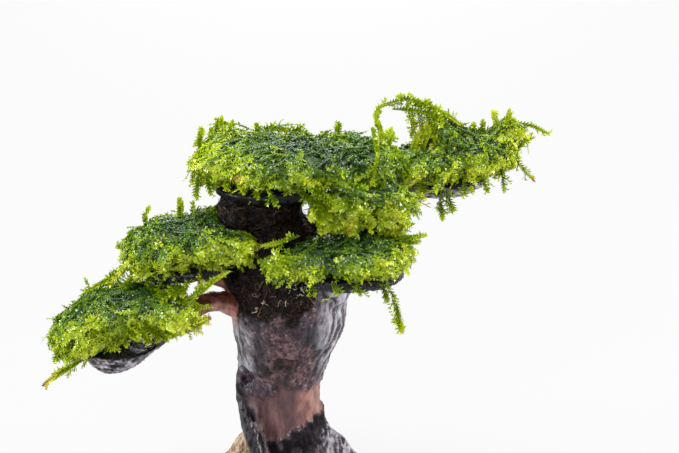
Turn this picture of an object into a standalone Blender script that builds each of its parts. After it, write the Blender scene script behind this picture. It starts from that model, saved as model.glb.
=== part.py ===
"""Aquarium moss on a small driftwood tree.

A gnarled driftwood stem stands on spreading roots and forks into short limbs. Each limb ends in a
flat-topped slab of dark wood, and a mat of moss grows on each slab, with a drape of moss between the
crown and the lower right mat. Lengths below are in millimetres, and MM turns them into metres.
The origin is on the floor under the stem, +Z is up and -Y is the front.
"""
import math

import bmesh
import bpy
from mathutils import Matrix, Vector, noise

MM = 0.001

# Driving dimensions of the wood.
CROWN_HEIGHT = 91.0
WAIST_RADIUS = 9.4
SHOULDER_RADIUS = 15.6
NECK_RADIUS = 9.4
FOOT_RADIUS = 13.5
ROOT_REACH = 33.0
GAP = 0.5

# How coarse the solids are.
SLAB_SIDES = 24
SLAB_RINGS = 10
FLOOR_CUT = 200.0


def clear_scene():
    for obj in list(bpy.data.objects):
        bpy.data.objects.remove(obj, do_unlink=True)


def new_collection(name):
    made = bpy.data.collections.new(name)
    bpy.context.scene.collection.children.link(made)
    return made


def material(name, color, roughness):
    made = bpy.data.materials.new(name)
    made.use_nodes = True
    shader = made.node_tree.nodes["Principled BSDF"]
    shader.inputs["Base Color"].default_value = (*color, 1.0)
    shader.inputs["Roughness"].default_value = roughness
    shader.inputs["Metallic"].default_value = 0.0
    made.diffuse_color = (*color, 1.0)
    return made


def cloud_texture(name, size):
    made = bpy.data.textures.new(name, "CLOUDS")
    made.noise_scale = size * MM
    made.noise_depth = 2
    return made


clear_scene()
TREE = new_collection("driftwood_with_moss")
CUTTERS = new_collection("cutters")
BARK = material("wet_bark", (0.07, 0.05, 0.055), 0.35)
RED_WOOD = material("red_wood", (0.22, 0.07, 0.04), 0.35)
TAN_WOOD = material("tan_root", (0.36, 0.22, 0.10), 0.6)
SLAB_WOOD = material("dark_slab", (0.03, 0.03, 0.035), 0.4)
MOSS = material("moss", (0.08, 0.20, 0.01), 0.45)

# The relief of each kind of solid: the cell that melts its shapes together, how far its bumps stand
# proud, their texture, and the mean side of a finished facet.
STEM_RELIEF = {"cell": 0.9, "bump": 1.6, "texture": cloud_texture("gnarl", 7.0), "facet": 4.2}
LIMB_RELIEF = {**STEM_RELIEF, "facet": 3.2}
MOSS_RELIEF = {"cell": 0.6, "bump": 1.8, "texture": cloud_texture("tufts", 4.0), "facet": 3.8}


def add_tube(shape, path):
    """Adds to the bmesh shape a closed tube along path, whose points are (x, y, z, radius)."""
    curve = bpy.data.curves.new("tube", "CURVE")
    curve.dimensions = "3D"
    curve.bevel_depth = MM
    curve.bevel_resolution = 4
    curve.resolution_u = 5
    curve.use_fill_caps = True
    spline = curve.splines.new("BEZIER")
    spline.bezier_points.add(len(path) - 1)
    for point, (x, y, z, radius) in zip(spline.bezier_points, path):
        point.co = Vector((x, y, z)) * MM
        point.radius = radius
        point.handle_left_type = "AUTO"
        point.handle_right_type = "AUTO"
    holder = bpy.data.objects.new("tube", curve)
    bpy.context.scene.collection.objects.link(holder)
    graph = bpy.context.evaluated_depsgraph_get()
    mesh = bpy.data.meshes.new_from_object(holder.evaluated_get(graph))
    shape.from_mesh(mesh)
    bpy.data.objects.remove(holder)
    bpy.data.curves.remove(curve)
    bpy.data.meshes.remove(mesh)


def add_lump(shape, lump):
    """Adds to the bmesh shape an egg-shaped lump, (x, y, z, half length, half width, half height)."""
    x, y, z, half_length, half_width, half_height = (value * MM for value in lump)
    sizes = Matrix.Diagonal((half_length, half_width, half_height, 1.0))
    place = Matrix.Translation((x, y, z)) @ sizes
    bmesh.ops.create_icosphere(shape, subdivisions=3, radius=1.0, matrix=place)


def fused(name, tubes, lumps, origin, finish, relief):
    """One closed solid grown from tubes and lumps: they are melted together, roughened and faceted."""
    shape = bmesh.new()
    for path in tubes:
        add_tube(shape, path)
    for lump in lumps:
        add_lump(shape, lump)
    bmesh.ops.remove_doubles(shape, verts=shape.verts, dist=0.01 * MM)
    place = Vector(origin) * MM
    bmesh.ops.translate(shape, verts=shape.verts, vec=-place)
    mesh = bpy.data.meshes.new(name)
    shape.to_mesh(mesh)
    shape.free()
    mesh.materials.append(finish)
    obj = bpy.data.objects.new(name, mesh)
    obj.location = place
    TREE.objects.link(obj)
    melt = obj.modifiers.new("melt", "REMESH")
    melt.mode = "VOXEL"
    melt.voxel_size = relief["cell"] * MM
    rough = obj.modifiers.new("rough", "DISPLACE")
    rough.texture = relief["texture"]
    rough.texture_coords = "LOCAL"
    rough.strength = relief["bump"] * MM
    rough.mid_level = 0.5
    facets = obj.modifiers.new("facets", "DECIMATE")
    facets.ratio = 2.0 / math.sqrt(3.0) * (relief["cell"] / relief["facet"]) ** 2
    return obj


def branch(name, path, finish=BARK):
    """A root or a limb along path, with its origin where it leaves the stem."""
    return fused(name, [path], [], path[0][:3], finish, LIMB_RELIEF)


def slab(name, centre, length, width, depth, fullness, tilt, keel=0.0):
    """A flat-topped slab with a rounded underside. fullness is how steep its rim is, tilt its turn
    about X and Y in degrees, and keel how far along X its lowest point lies from its centre."""
    shape = bmesh.new()
    bmesh.ops.create_uvsphere(shape, u_segments=SLAB_SIDES, v_segments=SLAB_RINGS, radius=1.0)
    upper = [vert for vert in shape.verts if vert.co.z > 0.01]
    bmesh.ops.delete(shape, geom=upper, context="VERTS")
    rim = [vert for vert in shape.verts if vert.co.z > -0.01]
    shape.faces.new(sorted(rim, key=lambda vert: math.atan2(vert.co.y, vert.co.x)))
    for vert in shape.verts:
        wander = 1.0 + 0.07 * noise.noise(vert.co * 1.7 + Vector(centre))
        drop = abs(vert.co.z) ** fullness
        vert.co.x = (0.5 * length * wander * vert.co.x + keel * drop) * MM
        vert.co.y *= 0.5 * width * wander * MM
        vert.co.z = -drop * depth * MM
    mesh = bpy.data.meshes.new(name)
    shape.to_mesh(mesh)
    shape.free()
    mesh.materials.append(SLAB_WOOD)
    mesh.shade_smooth()
    mesh.set_sharp_from_angle(angle=math.radians(40))
    obj = bpy.data.objects.new(name, mesh)
    obj.location = Vector(centre) * MM
    obj.rotation_euler = (math.radians(tilt[0]), math.radians(tilt[1]), 0.0)
    TREE.objects.link(obj)
    return obj


def moss_mat(name, lumps, strands, base):
    """A mat of moss over the slab base: lumps for the cushion, and tubes for strands that trail from it."""
    origin = [value / MM for value in base.location]
    return fused(name, strands, lumps, origin, MOSS, MOSS_RELIEF)


def clearance(obj):
    """A cutter a little larger than obj, so that a piece cut by it keeps clear of obj."""
    cutter = obj.copy()
    cutter.name = "room_for_" + obj.name
    cutter.hide_render = True
    cutter.display_type = "WIRE"
    CUTTERS.objects.link(cutter)
    swell = cutter.modifiers.new("swell", "DISPLACE")
    swell.mid_level = 0.0
    swell.strength = GAP * MM
    return cutter


def cut(obj, cutters):
    for cutter in cutters:
        away = obj.modifiers.new("fit_" + cutter.name, "BOOLEAN")
        away.operation = "DIFFERENCE"
        away.solver = "EXACT"
        away.object = cutter


def floor_cutter():
    """A block under the floor, which gives the stem and roots their flat sawn feet."""
    shape = bmesh.new()
    half = 0.5 * FLOOR_CUT * MM
    below = Matrix.Translation((0.0, 0.0, -half))
    bmesh.ops.create_cube(shape, size=FLOOR_CUT * MM, matrix=below)
    mesh = bpy.data.meshes.new("below_floor")
    shape.to_mesh(mesh)
    shape.free()
    obj = bpy.data.objects.new("below_floor", mesh)
    obj.hide_render = True
    obj.display_type = "WIRE"
    CUTTERS.objects.link(obj)
    return obj


# The stem: a foot that flares, a waist, a swollen shoulder and a neck that leans left to the crown.
STEM = [
    (2.0, 1.0, -8.0, FOOT_RADIUS + 3.0),
    (1.5, 0.5, 5.0, FOOT_RADIUS),
    (0.4, 0.0, 14.0, 10.8),
    (-0.8, 0.0, 22.0, WAIST_RADIUS + 0.2),
    (-1.5, 0.0, 30.0, WAIST_RADIUS + 0.2),
    (-1.6, 0.0, 38.0, WAIST_RADIUS + 1.1),
    (-2.0, 0.0, 45.0, SHOULDER_RADIUS - 2.6),
    (-0.9, 0.0, 52.0, SHOULDER_RADIUS - 0.5),
    (-0.6, 0.0, 58.0, SHOULDER_RADIUS),
    (-2.4, 0.0, 65.5, SHOULDER_RADIUS - 2.0),
    (-5.0, 0.5, 73.5, NECK_RADIUS + 1.8),
    (-7.0, 1.0, 79.5, NECK_RADIUS),
    (-6.8, 0.6, 84.0, NECK_RADIUS + 0.5),
    (-6.5, 0.4, CROWN_HEIGHT - 3.0, NECK_RADIUS + 1.4),
]
SHOULDER_BURL = [
    (8.0, -2.0, 62.0, 5.5),
    (8.3, -3.0, 54.0, 6.0),
    (5.2, -3.0, 45.0, 5.5),
    (2.0, -2.0, 36.0, 5.5),
]
FRONT_BURL = [
    (-6.0, -4.0, 61.0, 8.0),
    (-5.0, -5.0, 51.0, 8.0),
    (-4.0, -3.0, 42.0, 7.0),
    (-3.0, -1.0, 32.0, 6.5),
]

# The roots, from where they leave the stem to their tips on the floor.
ROOTS = {
    "root_right": [
        (5.2, -1.0, 20.0, 4.0),
        (10.0, -2.5, 13.8, 5.1),
        (15.2, -3.4, 8.0, 5.1),
        (21.0, -2.6, 4.2, 4.0),
        (28.0, -4.6, 2.2, 3.0),
        (ROOT_REACH, -8.0, 0.8, 1.8),
    ],
    "root_left": [
        (-6.0, 3.0, 16.0, 3.8),
        (-12.0, 4.6, 11.5, 4.0),
        (-15.6, 3.6, 6.4, 3.5),
        (-20.5, 4.6, 3.6, 3.1),
        (-26.0, 2.0, 2.0, 2.5),
        (-ROOT_REACH + 2.0, -1.6, 0.8, 1.6),
    ],
    "root_front": [
        (-12.9, -3.2, 40.0, 0.9),
        (-13.7, -3.6, 35.5, 1.1),
        (-13.4, -4.8, 30.5, 1.5),
        (-12.0, -7.4, 25.0, 1.8),
        (-9.2, -10.4, 16.5, 2.2),
        (-8.6, -14.4, 8.4, 3.2),
        (-10.6, -20.0, 3.4, 2.9),
        (-10.0, -26.0, 1.0, 1.8),
    ],
    "root_front_right": [
        (5.0, -6.0, 16.0, 3.8),
        (8.0, -12.6, 9.0, 4.4),
        (10.4, -18.0, 4.6, 3.8),
        (14.4, -22.4, 2.4, 2.9),
        (16.0, -27.6, 0.8, 1.7),
    ],
    "root_back": [
        (0.0, 7.0, 18.0, 4.4),
        (1.0, 13.6, 10.0, 5.0),
        (4.4, 19.4, 5.0, 4.2),
        (4.0, 25.4, 2.6, 3.1),
        (7.6, 30.0, 0.8, 1.8),
    ],
}

# The limbs, from the stem to the slab that each one carries.
LIMB_LOWER_LEFT = [
    (-8.5, -3.0, 52.5, 3.6),
    (-12.2, -5.0, 55.8, 2.8),
    (-17.0, -7.0, 58.6, 2.4),
    (-21.6, -9.0, 59.8, 2.3),
    (-26.0, -11.0, 58.4, 2.4),
    (-31.0, -12.0, 54.0, 2.6),
    (-36.5, -12.0, 48.8, 2.0),
]
LIMB_MIDDLE_LEFT = [
    (-8.0, -2.0, 61.0, 4.4),
    (-14.0, -4.0, 64.0, 3.4),
    (-19.0, -5.0, 66.0, 2.8),
    (-24.0, -6.0, 67.6, 2.0),
]
LIMB_LOWER_RIGHT = [(6.0, -5.0, 58.0, 5.0), (11.5, -7.0, 63.0, 4.2), (15.0, -8.5, 67.2, 2.8)]
LIMB_UPPER_RIGHT = [
    (-1.0, 2.0, 71.0, 4.6),
    (5.0, 3.0, 73.5, 3.8),
    (14.0, 5.0, 76.5, 3.2),
    (25.0, 8.5, 80.5, 3.0),
    (33.0, 11.0, 83.0, 2.6),
    (37.5, 12.5, 84.4, 1.9),
]

trunk = fused("trunk", [STEM, SHOULDER_BURL, FRONT_BURL], [], (0.0, 0.0, 0.0), BARK, STEM_RELIEF)
roots = []
for name, path in ROOTS.items():
    wood = TAN_WOOD if name == "root_left" else BARK
    roots.append(branch(name, path, wood))
limb_lower_left = branch("limb_lower_left", LIMB_LOWER_LEFT, RED_WOOD)
limb_middle_left = branch("limb_middle_left", LIMB_MIDDLE_LEFT)
limb_lower_right = branch("limb_lower_right", LIMB_LOWER_RIGHT)
limb_upper_right = branch("limb_upper_right", LIMB_UPPER_RIGHT)

# The slabs that the moss grows on.
slab_crown = slab("slab_crown", (-5.0, -1.0, CROWN_HEIGHT), 30.0, 25.0, 4.5, 0.75, (0.0, 0.0))
slab_lower_left = slab("slab_lower_left", (-43.6, -12.0, 49.5), 19.2, 17.0, 7.4, 1.7, (2.0, -3.0), -3.0)
slab_middle_left = slab("slab_middle_left", (-26.5, -6.0, 70.8), 23.0, 19.0, 4.0, 0.7, (2.0, -4.0))
slab_lower_right = slab("slab_lower_right", (15.9, -8.5, 70.2), 27.8, 23.0, 3.9, 0.4, (1.0, -1.0))
slab_upper_right = slab("slab_upper_right", (39.7, 13.0, 87.0), 24.0, 18.0, 4.9, 0.8, (1.0, -2.0))

# The moss: lumps make each cushion, and tubes follow its longest strands.
moss_crown = moss_mat(
    "moss_crown",
    [
        (-16.0, -1.0, 95.8, 8.5, 8.8, 5.5),
        (-8.0, -2.0, 96.5, 9.0, 13.0, 6.5),
        (2.0, -2.0, 96.0, 9.0, 13.5, 6.2),
        (11.0, 0.0, 95.5, 9.0, 12.0, 6.0),
        (20.0, 2.0, 94.8, 8.0, 11.0, 5.6),
        (-16.5, 4.0, 100.0, 4.5, 4.5, 4.0),
        (13.0, 4.0, 98.3, 5.5, 5.0, 3.2),
    ],
    [[(-15.0, 5.0, 99.0, 3.0), (-17.5, 6.0, 104.5, 1.2)]],
    slab_crown,
)
moss_upper_right = moss_mat(
    "moss_upper_right",
    [
        (33.0, 10.0, 91.0, 7.0, 8.0, 5.0),
        (40.0, 13.0, 91.0, 8.0, 10.5, 5.2),
        (48.0, 14.0, 92.2, 8.0, 10.0, 6.4),
        (53.6, 14.0, 93.5, 6.2, 8.0, 5.8),
        (57.2, 14.0, 99.0, 3.8, 4.0, 4.5),
        (41.0, 13.0, 98.0, 6.0, 5.0, 4.0),
    ],
    [
        [(22.8, 6.0, 96.0, 1.1), (22.0, 9.0, 101.5, 1.2), (24.8, 12.0, 105.6, 1.5), (31.0, 13.0, 106.0, 1.8),
         (37.0, 13.5, 104.0, 2.2), (42.0, 14.0, 99.0, 3.0)],
        [(58.0, 14.0, 101.0, 1.6), (63.0, 14.0, 100.5, 1.0), (67.6, 14.0, 98.0, 1.1)],
        [(56.0, 14.0, 92.0, 1.8), (60.5, 14.0, 90.0, 1.1), (64.2, 14.0, 85.2, 1.1)],
        [(40.0, 5.0, 90.0, 3.0), (39.2, 2.0, 86.0, 2.0), (38.8, 2.0, 81.5, 1.6), (38.6, 3.0, 77.0, 1.1)],
    ],
    slab_upper_right,
)
moss_lower_right = moss_mat(
    "moss_lower_right",
    [
        (-0.5, -13.5, 73.0, 6.5, 6.0, 4.0),
        (7.0, -10.0, 73.5, 8.0, 11.0, 4.5),
        (16.0, -9.0, 74.0, 9.0, 13.0, 5.0),
        (22.5, -9.0, 74.0, 8.0, 12.0, 5.0),
        (26.5, -8.0, 74.0, 5.0, 8.0, 4.0),
    ],
    [
        [(24.0, -17.0, 72.0, 2.6), (25.8, -19.0, 68.5, 1.8), (27.8, -19.0, 62.5, 1.5),
         (29.9, -18.0, 54.5, 1.1)],
        [(-2.0, -15.0, 73.0, 2.6), (-6.0, -16.0, 70.5, 1.6)],
    ],
    slab_lower_right,
)
moss_drape = moss_mat(
    "moss_drape",
    [
        (9.0, -9.5, 88.0, 5.5, 4.5, 5.0),
        (16.5, -9.0, 87.5, 7.0, 5.0, 6.0),
        (24.5, -7.0, 87.5, 6.5, 5.0, 6.0),
        (14.5, -8.0, 82.0, 6.5, 4.5, 5.5),
        (22.5, -7.0, 82.0, 7.5, 4.5, 5.5),
        (27.0, -6.0, 84.5, 4.2, 4.0, 4.0),
    ],
    [[(27.0, -5.0, 85.0, 3.0), (33.0, -4.5, 85.0, 1.4)]],
    slab_crown,
)
moss_middle_left = moss_mat(
    "moss_middle_left",
    [
        (-36.3, -6.0, 73.0, 7.0, 9.0, 6.4),
        (-30.0, -6.0, 75.0, 9.0, 11.0, 7.5),
        (-21.0, -6.0, 76.5, 9.0, 11.0, 7.0),
        (-13.5, -11.0, 76.5, 5.5, 5.5, 4.5),
    ],
    [
        [(-20.0, -5.0, 81.0, 3.4), (-16.5, -4.5, 84.0, 2.6), (-13.4, -4.0, 86.8, 1.3)],
        [(-42.0, -7.0, 71.5, 2.6), (-46.5, -8.0, 68.5, 1.3), (-51.5, -10.0, 65.0, 1.2)],
    ],
    slab_middle_left,
)
moss_lower_left = moss_mat(
    "moss_lower_left",
    [
        (-53.4, -12.0, 53.0, 8.2, 9.0, 6.6),
        (-46.4, -9.0, 57.0, 9.0, 11.0, 7.2),
        (-37.0, -9.0, 59.0, 9.0, 11.0, 6.6),
        (-30.5, -12.5, 59.6, 7.2, 8.6, 5.6),
        (-26.5, -14.5, 60.0, 4.2, 5.5, 4.4),
    ],
    [
        [(-50.0, -15.0, 51.0, 3.2), (-54.5, -18.0, 47.0, 1.5), (-59.0, -19.0, 43.8, 1.4),
         (-63.2, -19.0, 41.3, 0.9)],
        [(-30.0, -18.0, 55.5, 2.6), (-25.5, -19.0, 57.0, 1.3), (-19.8, -19.0, 59.5, 0.9)],
        [(-26.5, -16.5, 61.5, 2.4), (-20.0, -17.0, 68.0, 1.3), (-14.4, -17.0, 73.0, 1.0)],
    ],
    slab_lower_left,
)

room = {obj.name: clearance(obj) for obj in list(TREE.objects)}
below_floor = floor_cutter()

cut(trunk, [room["slab_crown"], below_floor])
for root in roots:
    cut(root, [room["trunk"], below_floor])
cut(bpy.data.objects["root_front_right"], [room["root_front"], room["root_right"]])
cut(slab_lower_right, [room["trunk"]])
cut(slab_middle_left, [room["trunk"]])
cut(limb_lower_left, [room["trunk"], room["slab_lower_left"]])
cut(limb_middle_left, [room["trunk"], room["slab_middle_left"]])
cut(limb_lower_right, [room["trunk"], room["slab_lower_right"]])
cut(limb_upper_right, [room["trunk"], room["slab_upper_right"]])
cut(moss_crown, [room["slab_crown"], room["trunk"]])
cut(moss_upper_right, [room["slab_upper_right"], room["limb_upper_right"], room["moss_crown"]])
cut(moss_lower_right, [room["slab_lower_right"], room["trunk"], room["limb_upper_right"]])
cut(moss_drape, [room["moss_crown"], room["moss_lower_right"], room["slab_crown"]])
cut(moss_middle_left, [room["slab_middle_left"], room["trunk"], room["limb_middle_left"]])
cut(moss_lower_left, [room["slab_lower_left"], room["limb_lower_left"], room["moss_middle_left"]])

tree_origin = bpy.data.objects.new("tree_origin", None)
TREE.objects.link(tree_origin)
for obj in [*TREE.objects, *CUTTERS.objects]:
    if obj is not tree_origin:
        obj.parent = tree_origin
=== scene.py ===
"""The looks of a small driftwood tree with aquarium moss: wet bark, black wood slabs and feathery moss.

Lengths are in millimetres where they are multiplied by MM, and in metres elsewhere. +Z is up and -Y is
the front.
"""
import math
from types import SimpleNamespace

import bmesh
import bpy
import numpy as np
from mathutils import Matrix, Vector, noise
from mathutils.bvhtree import BVHTree


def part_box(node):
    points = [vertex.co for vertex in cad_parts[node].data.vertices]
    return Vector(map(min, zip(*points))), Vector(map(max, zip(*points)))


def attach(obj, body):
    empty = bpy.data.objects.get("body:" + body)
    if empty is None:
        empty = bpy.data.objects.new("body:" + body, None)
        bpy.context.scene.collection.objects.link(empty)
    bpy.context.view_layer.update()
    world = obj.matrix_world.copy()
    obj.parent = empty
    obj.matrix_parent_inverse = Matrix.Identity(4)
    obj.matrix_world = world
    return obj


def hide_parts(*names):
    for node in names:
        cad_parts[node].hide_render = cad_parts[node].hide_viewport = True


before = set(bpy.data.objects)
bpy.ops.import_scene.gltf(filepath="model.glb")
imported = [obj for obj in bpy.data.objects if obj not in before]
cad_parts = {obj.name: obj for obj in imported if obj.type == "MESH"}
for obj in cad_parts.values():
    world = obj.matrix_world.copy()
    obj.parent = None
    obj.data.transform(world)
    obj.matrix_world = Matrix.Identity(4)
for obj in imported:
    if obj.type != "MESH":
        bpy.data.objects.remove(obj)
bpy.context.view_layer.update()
MM = 0.001


# Camera. It looks along +Y and a little down on the tree, so close that the picture's lower edge cuts
# off the foot, as a macro photograph of the tree would.
CAMERA_LENS = 100.0
CAMERA_RISE = math.radians(22.0)
CAMERA_DISTANCE = 490.0 * MM
CAMERA_TARGET = Vector((12.9, 0.0, 77.5)) * MM
SENSOR_WIDTH = 36.0

camera_data = bpy.data.cameras.new("camera")
camera_data.lens = CAMERA_LENS
camera_data.sensor_width = SENSOR_WIDTH
camera_data.clip_start = 0.01
camera_data.clip_end = 20.0
camera = bpy.data.objects.new("camera", camera_data)
bpy.context.scene.collection.objects.link(camera)
away = Vector((0.0, -math.cos(CAMERA_RISE), math.sin(CAMERA_RISE)))
camera.location = CAMERA_TARGET + away * CAMERA_DISTANCE
camera.rotation_euler = (math.radians(90.0) - CAMERA_RISE, 0.0, 0.0)
bpy.context.scene.camera = camera


# Studio. A pale floor runs on into a pale sky, and broad soft lights stand over, behind and beside the
# tree, so that every wet edge has something white to mirror.
FLOOR_WIDTH = 6.0
FLOOR_COLOR = (0.05, 0.05, 0.052)
FLOOR_GLOW = 0.88
SKY = (0.955, 0.955, 0.955)
SKY_STRENGTH = 0.35
LIGHTS = {
    "top_light": {"at": (0.0, 0.02, 0.62), "size": 0.45, "power": 5.2},
    "left_light": {"at": (-0.50, -0.10, 0.14), "size": 0.22, "power": 2.6},
    "right_light": {"at": (0.50, -0.06, 0.16), "size": 0.22, "power": 2.6},
    "back_light": {"at": (0.0, 0.60, 0.30), "size": 0.50, "power": 4.0},
    "front_light": {"at": (-0.20, -0.60, 0.52), "size": 0.30, "power": 2.8},
}


def solid_material(name, color, roughness):
    made = bpy.data.materials.new(name)
    made.use_nodes = True
    shader = made.node_tree.nodes["Principled BSDF"]
    shader.inputs["Base Color"].default_value = (*color, 1.0)
    shader.inputs["Roughness"].default_value = roughness
    return made


def studio():
    shape = bmesh.new()
    bmesh.ops.create_grid(shape, x_segments=1, y_segments=1, size=FLOOR_WIDTH / 2.0)
    mesh = bpy.data.meshes.new("floor")
    shape.to_mesh(mesh)
    shape.free()
    floor_paint = solid_material("floor_paint", FLOOR_COLOR, 0.9)
    glow = floor_paint.node_tree.nodes["Principled BSDF"].inputs
    glow["Specular IOR Level"].default_value = 0.0
    glow["Emission Color"].default_value = (*SKY, 1.0)
    glow["Emission Strength"].default_value = FLOOR_GLOW
    mesh.materials.append(floor_paint)
    floor = bpy.data.objects.new("floor", mesh)
    bpy.context.scene.collection.objects.link(floor)
    for name, light in LIGHTS.items():
        data = bpy.data.lights.new(name, "AREA")
        data.shape = "DISK"
        data.size = light["size"]
        data.energy = light["power"]
        lamp = bpy.data.objects.new(name, data)
        lamp.location = light["at"]
        lamp.visible_camera = False
        towards = CAMERA_TARGET - lamp.location
        lamp.rotation_euler = towards.to_track_quat("-Z", "Y").to_euler()
        bpy.context.scene.collection.objects.link(lamp)
    sky = bpy.data.worlds.new("sky")
    sky.use_nodes = True
    backdrop = sky.node_tree.nodes["Background"].inputs
    backdrop["Color"].default_value = (*SKY, 1.0)
    backdrop["Strength"].default_value = SKY_STRENGTH
    bpy.context.scene.world = sky
    bpy.context.scene.view_settings.view_transform = "Standard"


studio()


# Driftwood. One gnarled piece of wood: stem, roots and limbs grown together. The CAD solids are melted
# into one skin, which is then wrinkled along the grain like bark that has lain under water. The bark is
# gone from the waist, where the smooth pink wood shows.
WOOD_NODES = [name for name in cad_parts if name.startswith(("trunk", "root_", "limb_"))]
WOOD_GRAIN = 0.45
WOOD_GROWTH = 0.45
WOOD_SMOOTHING = 9
WEBS = [
    {"at": (-10.2, -4.0, 28.5), "reach": (2.6, 2.4, 6.5)},
    {"at": (-13.5, -6.0, 84.0), "reach": (4.6, 5.0, 4.6)},
]
CAVITY = Vector((-2.2, -12.5, 40.5))
STRAND_HEIGHTS = (25.5, 28.5, 34.5)
STRAND_EDGES = (-7.0, -11.6, -12.6)
WISPS = np.array([(-4.5, -10.5, 67.6), (-7.6, -12.6, 61.8), (0.0, -13.6, 63.6), (2.6, -13.0, 66.0)])
WISP_REACH = 3.6


def smoothstep(low, high, value):
    part = np.clip((value - low) / (high - low), 0.0, 1.0)
    return part * part * (3.0 - 2.0 * part)


def merged(nodes, name):
    """A new object of copies of CAD nodes, with the loose triangles of each joined up."""
    shape = bmesh.new()
    for node in nodes:
        shape.from_mesh(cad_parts[node].data)
    bmesh.ops.remove_doubles(shape, verts=shape.verts, dist=0.00001)
    mesh = bpy.data.meshes.new(name)
    shape.to_mesh(mesh)
    shape.free()
    obj = bpy.data.objects.new(name, mesh)
    bpy.context.scene.collection.objects.link(obj)
    return obj


def settle(obj):
    """Makes the modifiers of obj part of its mesh."""
    graph = bpy.context.evaluated_depsgraph_get()
    mesh = bpy.data.meshes.new_from_object(obj.evaluated_get(graph))
    obj.modifiers.clear()
    old = obj.data
    mesh.name = obj.name
    obj.data = mesh
    bpy.data.meshes.remove(old)


def puffed(obj, name, distance):
    """Moves the skin of obj outwards."""
    step = obj.modifiers.new(name, "DISPLACE")
    step.mid_level = 0.0
    step.strength = distance * MM


def melted(obj, grain, smoothing):
    """Makes one smooth skin of the solids of obj."""
    melt = obj.modifiers.new("melt", "REMESH")
    melt.mode = "VOXEL"
    melt.voxel_size = grain * MM
    soften = obj.modifiers.new("soften", "SMOOTH")
    soften.iterations = smoothing


def places(mesh):
    """The vertices of a mesh in millimetres, as rows of x, y and z."""
    spots = np.empty(len(mesh.vertices) * 3)
    mesh.vertices.foreach_get("co", spots)
    return spots.reshape(-1, 3) / MM


def directions(mesh):
    ways = np.empty(len(mesh.vertices) * 3)
    mesh.vertices.foreach_get("normal", ways)
    return ways.reshape(-1, 3)


def put_back(mesh, spots):
    mesh.vertices.foreach_set("co", (spots * MM).ravel())
    mesh.update()
    mesh.shade_smooth()


def rough(spots, size, octaves=1, seed=0.0):
    """Noise between about -1 and 1 at each row of spots. size is its grain along x, y and z."""
    shift = Vector((seed, seed * 1.7, seed * 0.3))
    rows = spots / np.array(size)
    return np.array([noise.fractal(Vector(spot) + shift, 1.0, 2.0, octaves) for spot in rows])


def mask(mesh, name, values):
    made = mesh.attributes.new(name, "FLOAT", "POINT")
    made.data.foreach_set("value", values.astype(np.float32))


def skin_distance(node, spots):
    """How far each row of spots lies from the skin of a CAD node."""
    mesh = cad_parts[node].data
    faces = [tuple(face.vertices) for face in mesh.polygons]
    skin = BVHTree.FromPolygons([vert.co / MM for vert in mesh.vertices], faces)
    return np.array([skin.find_nearest(spot)[3] for spot in spots])


def bare_tree():
    """The wood without its bark: the CAD solids and the webs between them, grown together."""
    wood = merged(WOOD_NODES, "driftwood")
    shape = bmesh.new()
    shape.from_mesh(wood.data)
    for web in WEBS:
        stand = Matrix.LocRotScale(Vector(web["at"]) * MM, None, Vector(web["reach"]) * MM)
        bmesh.ops.create_uvsphere(shape, u_segments=16, v_segments=10, radius=1.0, matrix=stand)
    shape.to_mesh(wood.data)
    shape.free()
    puffed(wood, "swell", WOOD_GROWTH)
    melted(wood, WOOD_GRAIN, WOOD_SMOOTHING)
    puffed(wood, "shrink", -WOOD_GROWTH)
    settle(wood)
    return wood


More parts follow.
